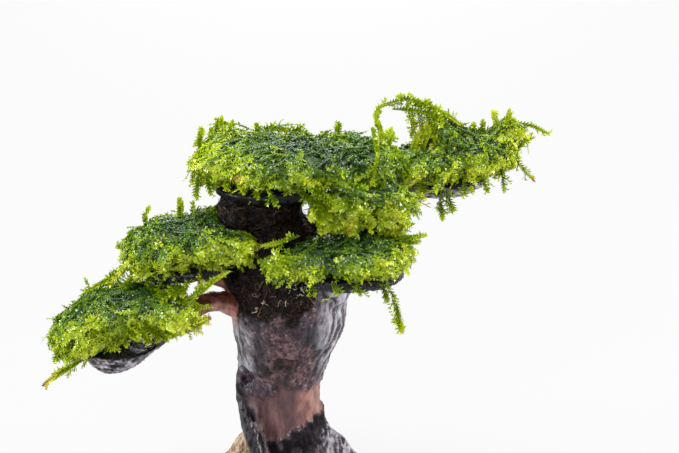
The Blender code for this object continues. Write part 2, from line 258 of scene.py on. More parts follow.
def wood_zones(spots):
    """How much each row of spots belongs to each zone of the wood, from 0 to 1."""
    x, y, z = spots.T
    zone = SimpleNamespace()
    zone.folds = rough(spots, (8.0, 8.0, 6.0), 2, 7.7)
    zone.edge = rough(spots, (3.2, 3.2, 3.2), 3, 2.2)
    to_trunk = skin_distance("trunk", spots)
    nearer = {
        node: to_trunk - skin_distance(node, spots)
        for node in ("root_front", "root_left", "root_right", "limb_lower_left")
    }
    on_strand = smoothstep(-0.5, 0.3, nearer["root_front"])
    zone.strand = on_strand * smoothstep(0.5, -0.5, x - np.interp(z, STRAND_HEIGHTS, STRAND_EDGES))
    # A thin painted highlight runs beside the strand, where the edge of the bark would catch the light.
    beside_strand = smoothstep(-1.6, -0.9, nearer["root_front"]) * (1.0 - zone.strand)
    beside_strand = beside_strand * smoothstep(-2.0, -5.0, y)
    zone.seam = beside_strand * smoothstep(12.0, 16.0, z) * smoothstep(31.0, 27.0, z)
    zone.tan = smoothstep(-0.5, 0.5, nearer["root_left"])
    zone.buttress = smoothstep(-0.3, 0.3, nearer["root_right"])
    zone.arch = smoothstep(-0.8, 0.4, nearer["limb_lower_left"])
    zone.stem = 1.0 - smoothstep(17.0, 21.0, np.hypot(x + 0.5, y))

    # The waist has lost its bark between the foot and the lip of the bulge.
    foot = 19.5 + 0.55 * np.maximum(x + 3.0, 0.0) + 2.4 * zone.edge
    lip = 34.9 - 3.6 * smoothstep(-1.0, -8.0, x) - 1.2 * smoothstep(3.0, 8.0, x)
    lip = lip + 1.6 * zone.edge + 1.6 * zone.folds
    not_root = (1.0 - zone.strand) * (1.0 - zone.buttress) * (1.0 - zone.tan)
    waist = smoothstep(foot - 0.8, foot + 0.8, z) * not_root * zone.stem
    zone.bare = waist * smoothstep(lip + 1.6, lip - 1.6, z)
    zone.worn = waist * smoothstep(lip + 2.0, lip - 2.0, z)
    zone.foot = smoothstep(foot, foot - 2.0, z)
    zone.sole = smoothstep(foot, foot - 1.5, z) * smoothstep(foot - 9.0, foot - 5.0, z)
    zone.sole = zone.sole * zone.stem * (1.0 - zone.buttress)
    zone.warm = zone.bare * smoothstep(1.0, 4.5, x + 1.2 * zone.folds)

    hem = 57.5 + 10.0 * smoothstep(3.5, 9.0, x) + 4.0 * zone.edge
    zone.neck = smoothstep(hem - 1.5, hem + 1.0, z) * (1.0 - smoothstep(14.0, 19.0, x)) * (1.0 - zone.arch)
    blur = np.stack([1.3 * zone.edge, np.zeros_like(y), zone.folds], axis=1)
    from_cavity = (spots - np.array(CAVITY)) / (3.6, 6.0, 4.6) + blur
    zone.cavity = smoothstep(1.3, 0.5, np.linalg.norm(from_cavity, axis=1))
    from_heart = np.hypot(x + 3.0 + 3.0 * zone.folds, (z - 46.0) * 0.75)
    zone.heart = smoothstep(12.0, 3.0, from_heart) * smoothstep(0.0, -6.0, y)
    zone.joint = smoothstep(6.0, 3.0, np.sqrt((x + 14.0) ** 2 + (z - 54.5) ** 2 + (y + 3.0) ** 2))
    # The sides of the bulge, which carry the painted sheen.
    left_side = smoothstep(-8.0, -11.5, x) * smoothstep(56.0, 50.0, z)
    zone.side = np.maximum(left_side, smoothstep(5.0, 11.0, x)) * smoothstep(36.0, 40.0, z)
    return zone


def bark_relief(spots, ways, zone):
    """How far the bark stands up from the wood at each row of spots, and how far its ridges do."""
    x, y, z = spots.T

    # The grain runs up the stem, and fans out over the bulge from the cavity.
    fan = (x - CAVITY.x) / np.maximum(0.6 + (z - 30.0) / 26.0, 0.6)
    grain = np.stack([fan, y, z], axis=1) + np.stack([zone.folds, zone.folds, 3.0 * zone.edge], axis=1)
    ridges = 1.0 - 2.0 * np.abs(rough(grain, (2.6, 2.6, 13.0), 3, 3.1))
    wrinkles = 1.0 - 2.0 * np.abs(rough(grain, (2.6, 2.6, 3.6), 3, 15.0))
    grit = rough(spots, (1.0, 1.0, 1.4), 3, 5.5)
    hairy = 0.60 * rough(spots, (1.5, 1.5, 1.5), 3, 21.0) + 0.45 * wrinkles + 0.2
    relief = 0.42 * ridges + 0.65 * zone.folds + 0.20 * wrinkles + 0.08 * grit - 0.9 * zone.cavity
    relief = relief * (1.0 - 0.5 * zone.foot)
    for share, over in (
        (zone.worn, 0.10 * ridges + 0.30 * zone.folds + 0.03 * grit - 0.50),
        (zone.strand, 0.16 * ridges + 0.10 * wrinkles + 0.04 * grit),
        (zone.arch, 0.12 * ridges + 0.3 * zone.folds + 0.8 * smoothstep(0.0, 0.8, ways[:, 2])),
        (zone.neck, hairy),
    ):
        relief = relief + (over - relief) * share
    return relief, ridges


def driftwood():
    wood = bare_tree()
    spots = places(wood.data)
    ways = directions(wood.data)
    x, y, z = spots.T
    zone = wood_zones(spots)
    relief, ridges = bark_relief(spots, ways, zone)
    barked = spots + ways * (relief * smoothstep(0.0, 2.0, z))[:, None]
    barked[:, 2] = np.maximum(barked[:, 2], 0.0)
    put_back(wood.data, barked)

    # Painted sheen: pale streaks on the ridges of the bulge's sides, of the buttress and of the strand, where
    # the wet bark would mirror the lights.
    film = zone.side * smoothstep(0.1, 0.9, ridges + 0.5 * zone.folds) * (1.0 - zone.neck) * (1.0 - zone.arch)
    film = np.maximum(film, zone.buttress * smoothstep(0.2, 0.9, ridges))
    film = np.maximum(film, 0.16 * zone.strand * smoothstep(0.3, 1.0, ridges + 0.4 * zone.folds))
    red = np.maximum(zone.arch * smoothstep(-31.0, -27.0, x), zone.joint * smoothstep(59.0, 56.0, z))
    # Painted shade: darker where the bark lies lower than its folds, in the grooves between the ridges.
    groove = -1.6 * (relief - 0.65 * zone.folds) * (1.0 - zone.worn) * (1.0 - zone.strand)
    masks = {
        "arch": red,
        "joint": zone.joint,
        "tan": zone.tan,
        "bare": zone.bare,
        "warm": zone.warm,
        "heart": zone.heart,
        "film": film,
        "cavity": zone.cavity,
        "seam": zone.seam,
        "black": np.maximum(zone.strand * smoothstep(37.0, 34.0, z), zone.sole * (1.0 - zone.tan)),
        "sole": zone.sole * (1.0 - zone.strand) * (1.0 - zone.tan),
        "neck": zone.neck,
        "wisps": sum(smoothstep(WISP_REACH, 1.4, np.linalg.norm(barked - at, axis=1)) for at in WISPS),
        "below": smoothstep(0.35, -0.35, directions(wood.data)[:, 2]),
        "groove": np.clip(groove, 0.0, 1.0),
    }
    for name, values in masks.items():
        mask(wood.data, name, values)
    return wood


class Graph:
    """A node tree in the making. Its methods give sockets, and take sockets and plain values alike."""

    def __init__(self, tree):
        self.tree = tree

    def add(self, kind, values=(), **settings):
        """A new node. values gives its inputs by name or number."""
        made = self.tree.nodes.new(kind)
        for name, value in settings.items():
            setattr(made, name, value)
        for name, value in dict(values).items():
            if isinstance(name, int):
                socket = made.inputs[name]
            else:
                socket = next(entry for entry in made.inputs if entry.name == name and entry.enabled)
            if isinstance(value, bpy.types.NodeSocket):
                self.tree.links.new(value, socket)
            else:
                socket.default_value = value
        return made

    def get(self, kind, values=(), **settings):
        """The first output of a new node."""
        return self.add(kind, values, **settings).outputs[0]

    def maths(self, operation, first, second=0.0, third=0.0):
        return self.get("ShaderNodeMath", {0: first, 1: second, 2: third}, operation=operation)

    def plus(self, first, second):
        return self.maths("ADD", first, second)

    def times(self, first, second):
        return self.maths("MULTIPLY", first, second)

    def times_plus(self, first, second, third):
        return self.maths("MULTIPLY_ADD", first, second, third)

    def remap(self, value, low, high, to_low=0.0, to_high=1.0):
        """value moved from the range between low and high to the other, and kept in it."""
        ends = {"Value": value, "From Min": low, "From Max": high, "To Min": to_low, "To Max": to_high}
        return self.get("ShaderNodeMapRange", ends)

    def blend(self, factor, low, high):
        """A mix of two colours."""
        entries = {
            "Factor": factor,
            "A": (*low, 1.0) if isinstance(low, tuple) else low,
            "B": (*high, 1.0) if isinstance(high, tuple) else high,
        }
        return self.add("ShaderNodeMix", entries, data_type="RGBA").outputs[2]

    def speckle(self, spot, scale, detail, roughness=0.5, output="Fac"):
        entries = {"Vector": spot, "Scale": scale, "Detail": detail, "Roughness": roughness}
        return self.add("ShaderNodeTexNoise", entries).outputs[output]

    def fleck(self, spot, scale, low, high, detail=4.0):
        """Speckle sharpened between low and high."""
        return self.remap(self.speckle(spot, scale, detail, 0.6), low, high)

    def attribute(self, name, share=1.0):
        """A share of what the mesh carries under this name."""
        found = self.add("ShaderNodeAttribute", attribute_name=name).outputs["Fac"]
        return found if share == 1.0 else self.times(found, share)


def painted(name, color, roughness):
    """A new material with its graph and the inputs of its shader."""
    made = solid_material(name, color, roughness)
    shader = made.node_tree.nodes["Principled BSDF"]
    return made, Graph(made.node_tree), shader.inputs


def varnish(inputs, specular, weight, roughness, ior):
    """A coat of water over a material."""
    inputs["Specular IOR Level"].default_value = specular
    inputs["Coat Weight"].default_value = weight
    inputs["Coat Roughness"].default_value = roughness
    inputs["Coat IOR"].default_value = ior


def bumped(graph, inputs, height, strength, depth):
    bump = graph.get("ShaderNodeBump", {"Height": height, "Strength": strength, "Distance": depth * MM})
    graph.tree.links.new(bump, inputs["Normal"])


WOOD_SHADES = {
    "grey": ((0.016, 0.012, 0.018), (0.088, 0.068, 0.092)),
    "pink": ((0.036, 0.015, 0.016), (0.210, 0.110, 0.110)),
    "hollow": ((0.006, 0.002, 0.002), (0.110, 0.045, 0.036)),
    "bare": ((0.065, 0.032, 0.034), (0.160, 0.082, 0.078)),
    "warm": ((0.220, 0.095, 0.072), (0.430, 0.225, 0.180)),
    "red_top": ((0.055, 0.014, 0.010), (0.200, 0.056, 0.036)),
    "red_under": ((0.220, 0.085, 0.066), (0.460, 0.220, 0.185)),
    "tan": ((0.150, 0.090, 0.050), (0.430, 0.320, 0.220)),
    "black_bark": ((0.002, 0.001, 0.002), (0.012, 0.009, 0.012)),
    # painted sheen: the pale grey-violet of the lights mirrored by the wet bark
    "grey_film": ((0.170, 0.160, 0.190), (0.620, 0.600, 0.670)),
    "black_wood": ((0.001, 0.001, 0.001), (0.016, 0.008, 0.006)),
}


def wet_bark():
    made, graph, inputs = painted("wet_bark", (0.06, 0.045, 0.05), 0.5)
    spot = graph.add("ShaderNodeTexCoord").outputs["Object"]
    stretched = graph.get("ShaderNodeMapping", {"Vector": spot, "Scale": (1.0, 1.0, 0.3)})
    blotch = graph.fleck(spot, 190.0, 0.42, 0.58)
    streak = graph.fleck(stretched, 520.0, 0.36, 0.66)
    speck = graph.fleck(spot, 620.0, 0.40, 0.62)
    light_fleck = graph.fleck(spot, 900.0, 0.58, 0.70, 2.0)
    pit = graph.fleck(spot, 700.0, 0.46, 0.36, 2.0)
    slate = graph.fleck(stretched, 170.0, 0.48, 0.58, 3.0)

    def shade(texture, name):
        return graph.blend(texture, *WOOD_SHADES[name])

    bare = graph.blend(graph.attribute("warm"), shade(streak, "bare"), shade(streak, "warm"))
    red = graph.blend(graph.attribute("below"), shade(streak, "red_top"), shade(streak, "red_under"))
    neck = graph.blend(graph.times(light_fleck, 0.25), shade(speck, "black_wood"), (0.140, 0.080, 0.050))
    pinkness = graph.times_plus(graph.attribute("heart"), 0.5, graph.times(blotch, 0.5))
    orange = graph.times(graph.attribute("joint"), blotch)
    color = shade(streak, "grey")
    for share, over in (
        (pinkness, shade(speck, "pink")),
        (graph.times(pit, 0.8), (0.010, 0.006, 0.007)),
        (graph.times(light_fleck, 0.6), (0.290, 0.240, 0.260)),
        (graph.times(slate, 0.75), (0.012, 0.012, 0.018)),
        (graph.attribute("cavity", 0.85), shade(speck, "hollow")),
        (graph.attribute("bare"), graph.blend(graph.times(blotch, 0.35), bare, (0.070, 0.040, 0.045))),
        (graph.attribute("arch"), graph.blend(orange, red, (0.420, 0.140, 0.065))),
        (graph.attribute("tan"), shade(speck, "tan")),
        (graph.attribute("black"), shade(streak, "black_bark")),
        # Painted sheen on the ridges of the sides, the buttress and the strand.
        (graph.attribute("film", 0.85), shade(streak, "grey_film")),
        # Painted highlight: a thin light line beside the strand.
        (graph.attribute("seam", 0.7), (0.330, 0.250, 0.260)),
        (graph.attribute("neck"), neck),
        # Painted shade in the grooves of the bark.
        (graph.attribute("groove", 0.85), (0.007, 0.005, 0.006)),
    ):
        color = graph.blend(share, color, over)
    graph.tree.links.new(color, inputs["Base Color"])
    bumped(graph, inputs, graph.times_plus(speck, 0.6, streak), 0.5, 0.3)
    varnish(inputs, 0.08, 0.7, 0.2, 1.28)
    dull = graph.maths("MAXIMUM", graph.attribute("neck"), graph.attribute("sole"))
    graph.tree.links.new(graph.remap(dull, 0.0, 1.0, 0.7, 0.05), inputs["Coat Weight"])
    return made


wood = driftwood()
wood.data.materials.clear()
wood.data.materials.append(wet_bark())
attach(wood, "root")
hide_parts(*WOOD_NODES)


# Slabs. Flat slices of black wood, polished smooth on top by the wet moss, with a wrinkled underside
# where the bark was: pale grey on the two outermost, nearly black on the others, and blackest and dullest
# on the crown's, with painted shade near-black in the valleys of the wrinkles. Each is wedged on the end
# of its limb.
SLAB_NODES = [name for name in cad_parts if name.startswith("slab_")]
SLAB_GRAIN = 0.36
SLAB_SMOOTHING = 5
SLAB_SHADES = {
    # The dark and the light tone of each underside's grain, and how wet it is.
    "pale_slab_wood": {"groove": (0.060, 0.054, 0.066), "ridge": (0.520, 0.480, 0.530), "wetness": 0.5},
    "dark_slab_wood": {"groove": (0.004, 0.004, 0.005), "ridge": (0.045, 0.042, 0.054), "wetness": 0.5},
    "black_slab_wood": {"groove": (0.002, 0.002, 0.002), "ridge": (0.014, 0.010, 0.009), "wetness": 0.1},
}
SLAB_FINISHES = {
    "slab_lower_left": "pale_slab_wood",
    "slab_upper_right": "pale_slab_wood",
    "slab_crown": "black_slab_wood",
}


def slab_wood(name):
    made, graph, inputs = painted(name, (0.02, 0.02, 0.024), 0.3)
    shades = SLAB_SHADES[name]
    spot = graph.add("ShaderNodeTexCoord").outputs["Object"]
    grain = graph.fleck(spot, 700.0, 0.38, 0.64)
    top = graph.blend(grain, (0.003, 0.003, 0.004), (0.014, 0.014, 0.018))
    under = graph.blend(grain, shades["groove"], shades["ridge"])
    # Painted shade: near-black in the valleys between the wrinkles of the underside.
    under = graph.blend(graph.attribute("ridge"), (0.006, 0.005, 0.007), under)
    graph.tree.links.new(graph.blend(graph.attribute("under"), top, under), inputs["Base Color"])
    bumped(graph, inputs, grain, 0.35, 0.3)
    varnish(inputs, 0.15, shades["wetness"], 0.14, 1.28)
    return made


def slab_piece(node, finish):
    piece = merged([node], node + "_wood")
    melted(piece, SLAB_GRAIN, SLAB_SMOOTHING)
    settle(piece)
    spots = places(piece.data)
    ways = directions(piece.data)
    under = smoothstep(0.35, -0.1, ways[:, 2])
    wrinkles = 1.0 - 2.0 * np.abs(rough(spots, (2.4, 3.2, 1.6), 3, 4.4))
    relief = under * 0.6 * wrinkles + (1.0 - under) * 0.12 * rough(spots, (3.0, 3.0, 3.0), 2, 9.0)
    put_back(piece.data, spots + ways * relief[:, None])
    mask(piece.data, "under", smoothstep(0.15, -0.35, ways[:, 2]))
    # Where the wrinkles stand up; the valleys between them get the painted shade.
    mask(piece.data, "ridge", smoothstep(0.0, 0.9, wrinkles))
    piece.data.materials.clear()
    piece.data.materials.append(finish)
    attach(piece, "root")
    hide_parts(node)


slab_woods = {name: slab_wood(name) for name in SLAB_SHADES}
for node in SLAB_NODES:
    slab_piece(node, slab_woods[SLAB_FINISHES.get(node, "dark_slab_wood")])


# Moss beds. The brown and dark green felt of old stems that each mat has grown up from. Geometry Nodes
# pack balls inside the mat's CAD solid, well under its skin, and melt them into one cushion.
MATS = [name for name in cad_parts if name.startswith("moss_")]
BED_BALL = 1.6
BED_SPACING = 0.8
BED_DEPTH = 0.9
BED_CELL = 0.6
BED_LUMPS = 1.1


class Growth(Graph):
    """A Geometry Nodes tree. Its inputs are a geometry, a material and the sockets named when it is made."""

    def __init__(self, name, **sockets):
        super().__init__(bpy.data.node_groups.new(name, "GeometryNodeTree"))
        for socket, kind in {"Geometry": "Geometry", **sockets, "Material": "Material"}.items():
            title = socket.replace("_", " ")
            self.tree.interface.new_socket(title, in_out="INPUT", socket_type="NodeSocket" + kind)
        self.tree.interface.new_socket("Geometry", in_out="OUTPUT", socket_type="NodeSocketGeometry")
        self.inputs = self.tree.nodes.new("NodeGroupInput").outputs
        self.spot = self.get("GeometryNodeInputPosition")

    def vectors(self, operation, first, second=(0.0, 0.0, 0.0)):
        made = self.add("ShaderNodeVectorMath", {0: first, 1: second}, operation=operation)
        return made.outputs["Value" if operation in ("DOT_PRODUCT", "LENGTH") else "Vector"]

    def scaled(self, vector, factor):
        return self.get("ShaderNodeVectorMath", {0: vector, 3: factor}, operation="SCALE")

    def moved(self, start, vector, factor):
        """start plus factor times vector."""
        return self.vectors("ADD", start, self.scaled(vector, factor))

    def flattened(self, vector, normal):
        """vector without its part along normal."""
        along = self.vectors("DOT_PRODUCT", vector, normal)
        return self.vectors("SUBTRACT", vector, self.scaled(normal, along))

    def part(self, vector, number):
        return self.add("ShaderNodeSeparateXYZ", {0: vector}).outputs[number]

    def chance(self, low, high, seed, kind="FLOAT"):
        """A random value between low and high, a new one for each element."""
        entries = {"Min": low, "Max": high, "Seed": seed}
        made = self.add("FunctionNodeRandomValue", entries, data_type=kind)
        return made.outputs[0 if kind == "FLOAT_VECTOR" else 1]

    def named(self, name, kind="FLOAT"):
        return self.get("GeometryNodeInputNamedAttribute", {"Name": name}, data_type=kind)

    def store(self, geometry, name, value, kind="FLOAT", domain="POINT"):
        entries = {"Geometry": geometry, "Name": name, "Value": value}
        return self.get("GeometryNodeStoreNamedAttribute", entries, data_type=kind, domain=domain)

    def nearest(self, output):
        """The point on the ground nearest to each element, or the distance to it."""
        entries = {"Geometry": self.inputs["Geometry"], "Sample Position": self.spot}
        return self.add("GeometryNodeProximity", entries, target_element="FACES").outputs[output]

    def placed(self, geometry, **where):
        return self.get("GeometryNodeSetPosition", {"Geometry": geometry, **where})

    def joined(self, *geometries):
        made = self.add("GeometryNodeJoinGeometry")
        for geometry in geometries:
            self.tree.links.new(geometry, made.inputs[0])
        return made.outputs[0]

    def finish(self, geometry):
        """Gives geometry its material and ends the tree with it."""
        entries = {"Geometry": geometry, "Material": self.inputs["Material"]}
        dressed = self.get("GeometryNodeSetMaterial", entries)
        whole = self.get("GeometryNodeRealizeInstances", {"Geometry": dressed})
        self.tree.links.new(whole, self.tree.nodes.new("NodeGroupOutput").inputs[0])

    def grow(self, obj, **values):
        """Runs the tree on obj with these inputs, and makes the result its mesh."""
        modifier = obj.modifiers.new(self.tree.name, "NODES")
        modifier.node_group = self.tree
        for entry in self.tree.interface.items_tree:
            title = entry.name.replace(" ", "_")
            if entry.item_type == "SOCKET" and entry.in_out == "INPUT" and title in values:
                modifier[entry.identifier] = values[title]
        settle(obj)


def bed_growth():
    graph = Growth("moss_bed", Ball="Float", Depth="Float", Cell="Float")
    cell = {"Voxel Size": graph.inputs["Cell"]}
    solid = graph.get("GeometryNodeMeshToVolume", {"Mesh": graph.inputs["Geometry"], **cell},
                      resolution_mode="VOXEL_SIZE")
    spacing = (BED_SPACING * MM,) * 3
    filling = graph.get("GeometryNodeDistributePointsInVolume", {"Volume": solid, "Spacing": spacing},
                        mode="DENSITY_GRID")
    reach = graph.plus(graph.inputs["Ball"], graph.inputs["Depth"])
    shallow = graph.get("FunctionNodeCompare", {"A": graph.nearest("Distance"), "B": reach},
                        operation="LESS_THAN")
    kept = graph.get("GeometryNodeDeleteGeometry", {"Geometry": filling, "Selection": shallow})
    balls = graph.get("GeometryNodePointsToVolume", {"Points": kept, "Radius": graph.inputs["Ball"], **cell},
                      resolution_mode="VOXEL_SIZE")
    graph.finish(graph.get("GeometryNodeVolumeToMesh", {"Volume": balls, "Threshold": 0.1, **cell},
                           resolution_mode="VOXEL_SIZE"))
    return graph


def felt():
    made, graph, inputs = painted("moss_felt", (0.02, 0.04, 0.01), 0.7)
    spot = graph.add("ShaderNodeTexCoord").outputs["Object"]
    fuzz = graph.speckle(spot, 1800.0, 4.0)
    clump = graph.remap(graph.speckle(spot, 300.0, 3.0), 0.4, 0.62)
    shade = graph.blend(clump, (0.006, 0.014, 0.004), (0.020, 0.048, 0.010))
    shade = graph.blend(graph.remap(fuzz, 0.4, 0.65), shade, (0.050, 0.085, 0.014))
    graph.tree.links.new(shade, inputs["Base Color"])
    bumped(graph, inputs, fuzz, 0.8, 0.6)
    return made


def bed_piece(mat, graph, finish):
    bed = merged([mat], mat + "_bed")
    graph.grow(bed, Ball=BED_BALL * MM, Depth=BED_DEPTH * MM, Cell=BED_CELL * MM, Material=finish)
    spots = places(bed.data)
    ways = directions(bed.data)
    put_back(bed.data, spots + ways * (BED_LUMPS * rough(spots, (3.2, 3.2, 2.6), 3, 3.0))[:, None])
    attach(bed, "root")
    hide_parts(mat)
    return bed


bed_finish = felt()
bed_nodes = bed_growth()
beds = {mat: bed_piece(mat, bed_nodes, bed_finish) for mat in MATS}


# Moss fronds. Each frond is a thin stem with two rows of pointed leaves, like a tiny fern, yellow-green
# where it is young and dark where it is old. Towards the rim, the steep sides and the back of each mat the
# leaves are made younger, so yellower and lighter: partly young growth and partly painted light shining
# through the thin leaves. Geometry Nodes grow them from the beds, and along the routes of the long strands
# that trail from the mats.
LEAF_LENGTH = 1.3
LEAF_SPACING = 0.36
LEAF_GLOW = 0.45
FROND_LENGTH = 5.0
FROND_DENSITY = 1.4
FROND_POINTS = 6
YOUNGEST = 0.74
STEM_STEP = 1.1
STEM_RADIUS = 0.18
SPRIG_LENGTH = 2.6
SPRIG_SPACING = 1.6
STRAND_SEED = 7
ROUTE_STEP = 0.8
FLAT = (1.0, 1.0, 0.0)
LEAF_SHADES = [
    (0.00, (0.016, 0.048, 0.016)),
    (0.20, (0.042, 0.110, 0.014)),
    (0.40, (0.125, 0.245, 0.008)),
    (0.58, (0.290, 0.430, 0.006)),
    (0.75, (0.520, 0.640, 0.012)),
    (0.90, (0.720, 0.720, 0.060)),
    (0.95, (0.500, 0.300, 0.050)),
    (1.00, (0.220, 0.090, 0.025)),
]

# How much fresher than the others each mat is, and to which side it gets younger, yellower and lighter
# still: partly fresher growth and partly painted light on that side.
FRESHNESS = {
    "moss_crown": (0.03, (-0.18, 0.04, 0.0)),
    "moss_drape": (0.04, (0.0, -0.04, 0.0)),
    "moss_upper_right": (0.12, (0.24, 0.04, 0.0)),
    "moss_lower_right": (-0.03, (0.10, -0.04, 0.0)),
    "moss_middle_left": (0.06, (-0.12, -0.04, 0.0)),
    "moss_lower_left": (0.06, (0.10, -0.10, 0.0)),
}

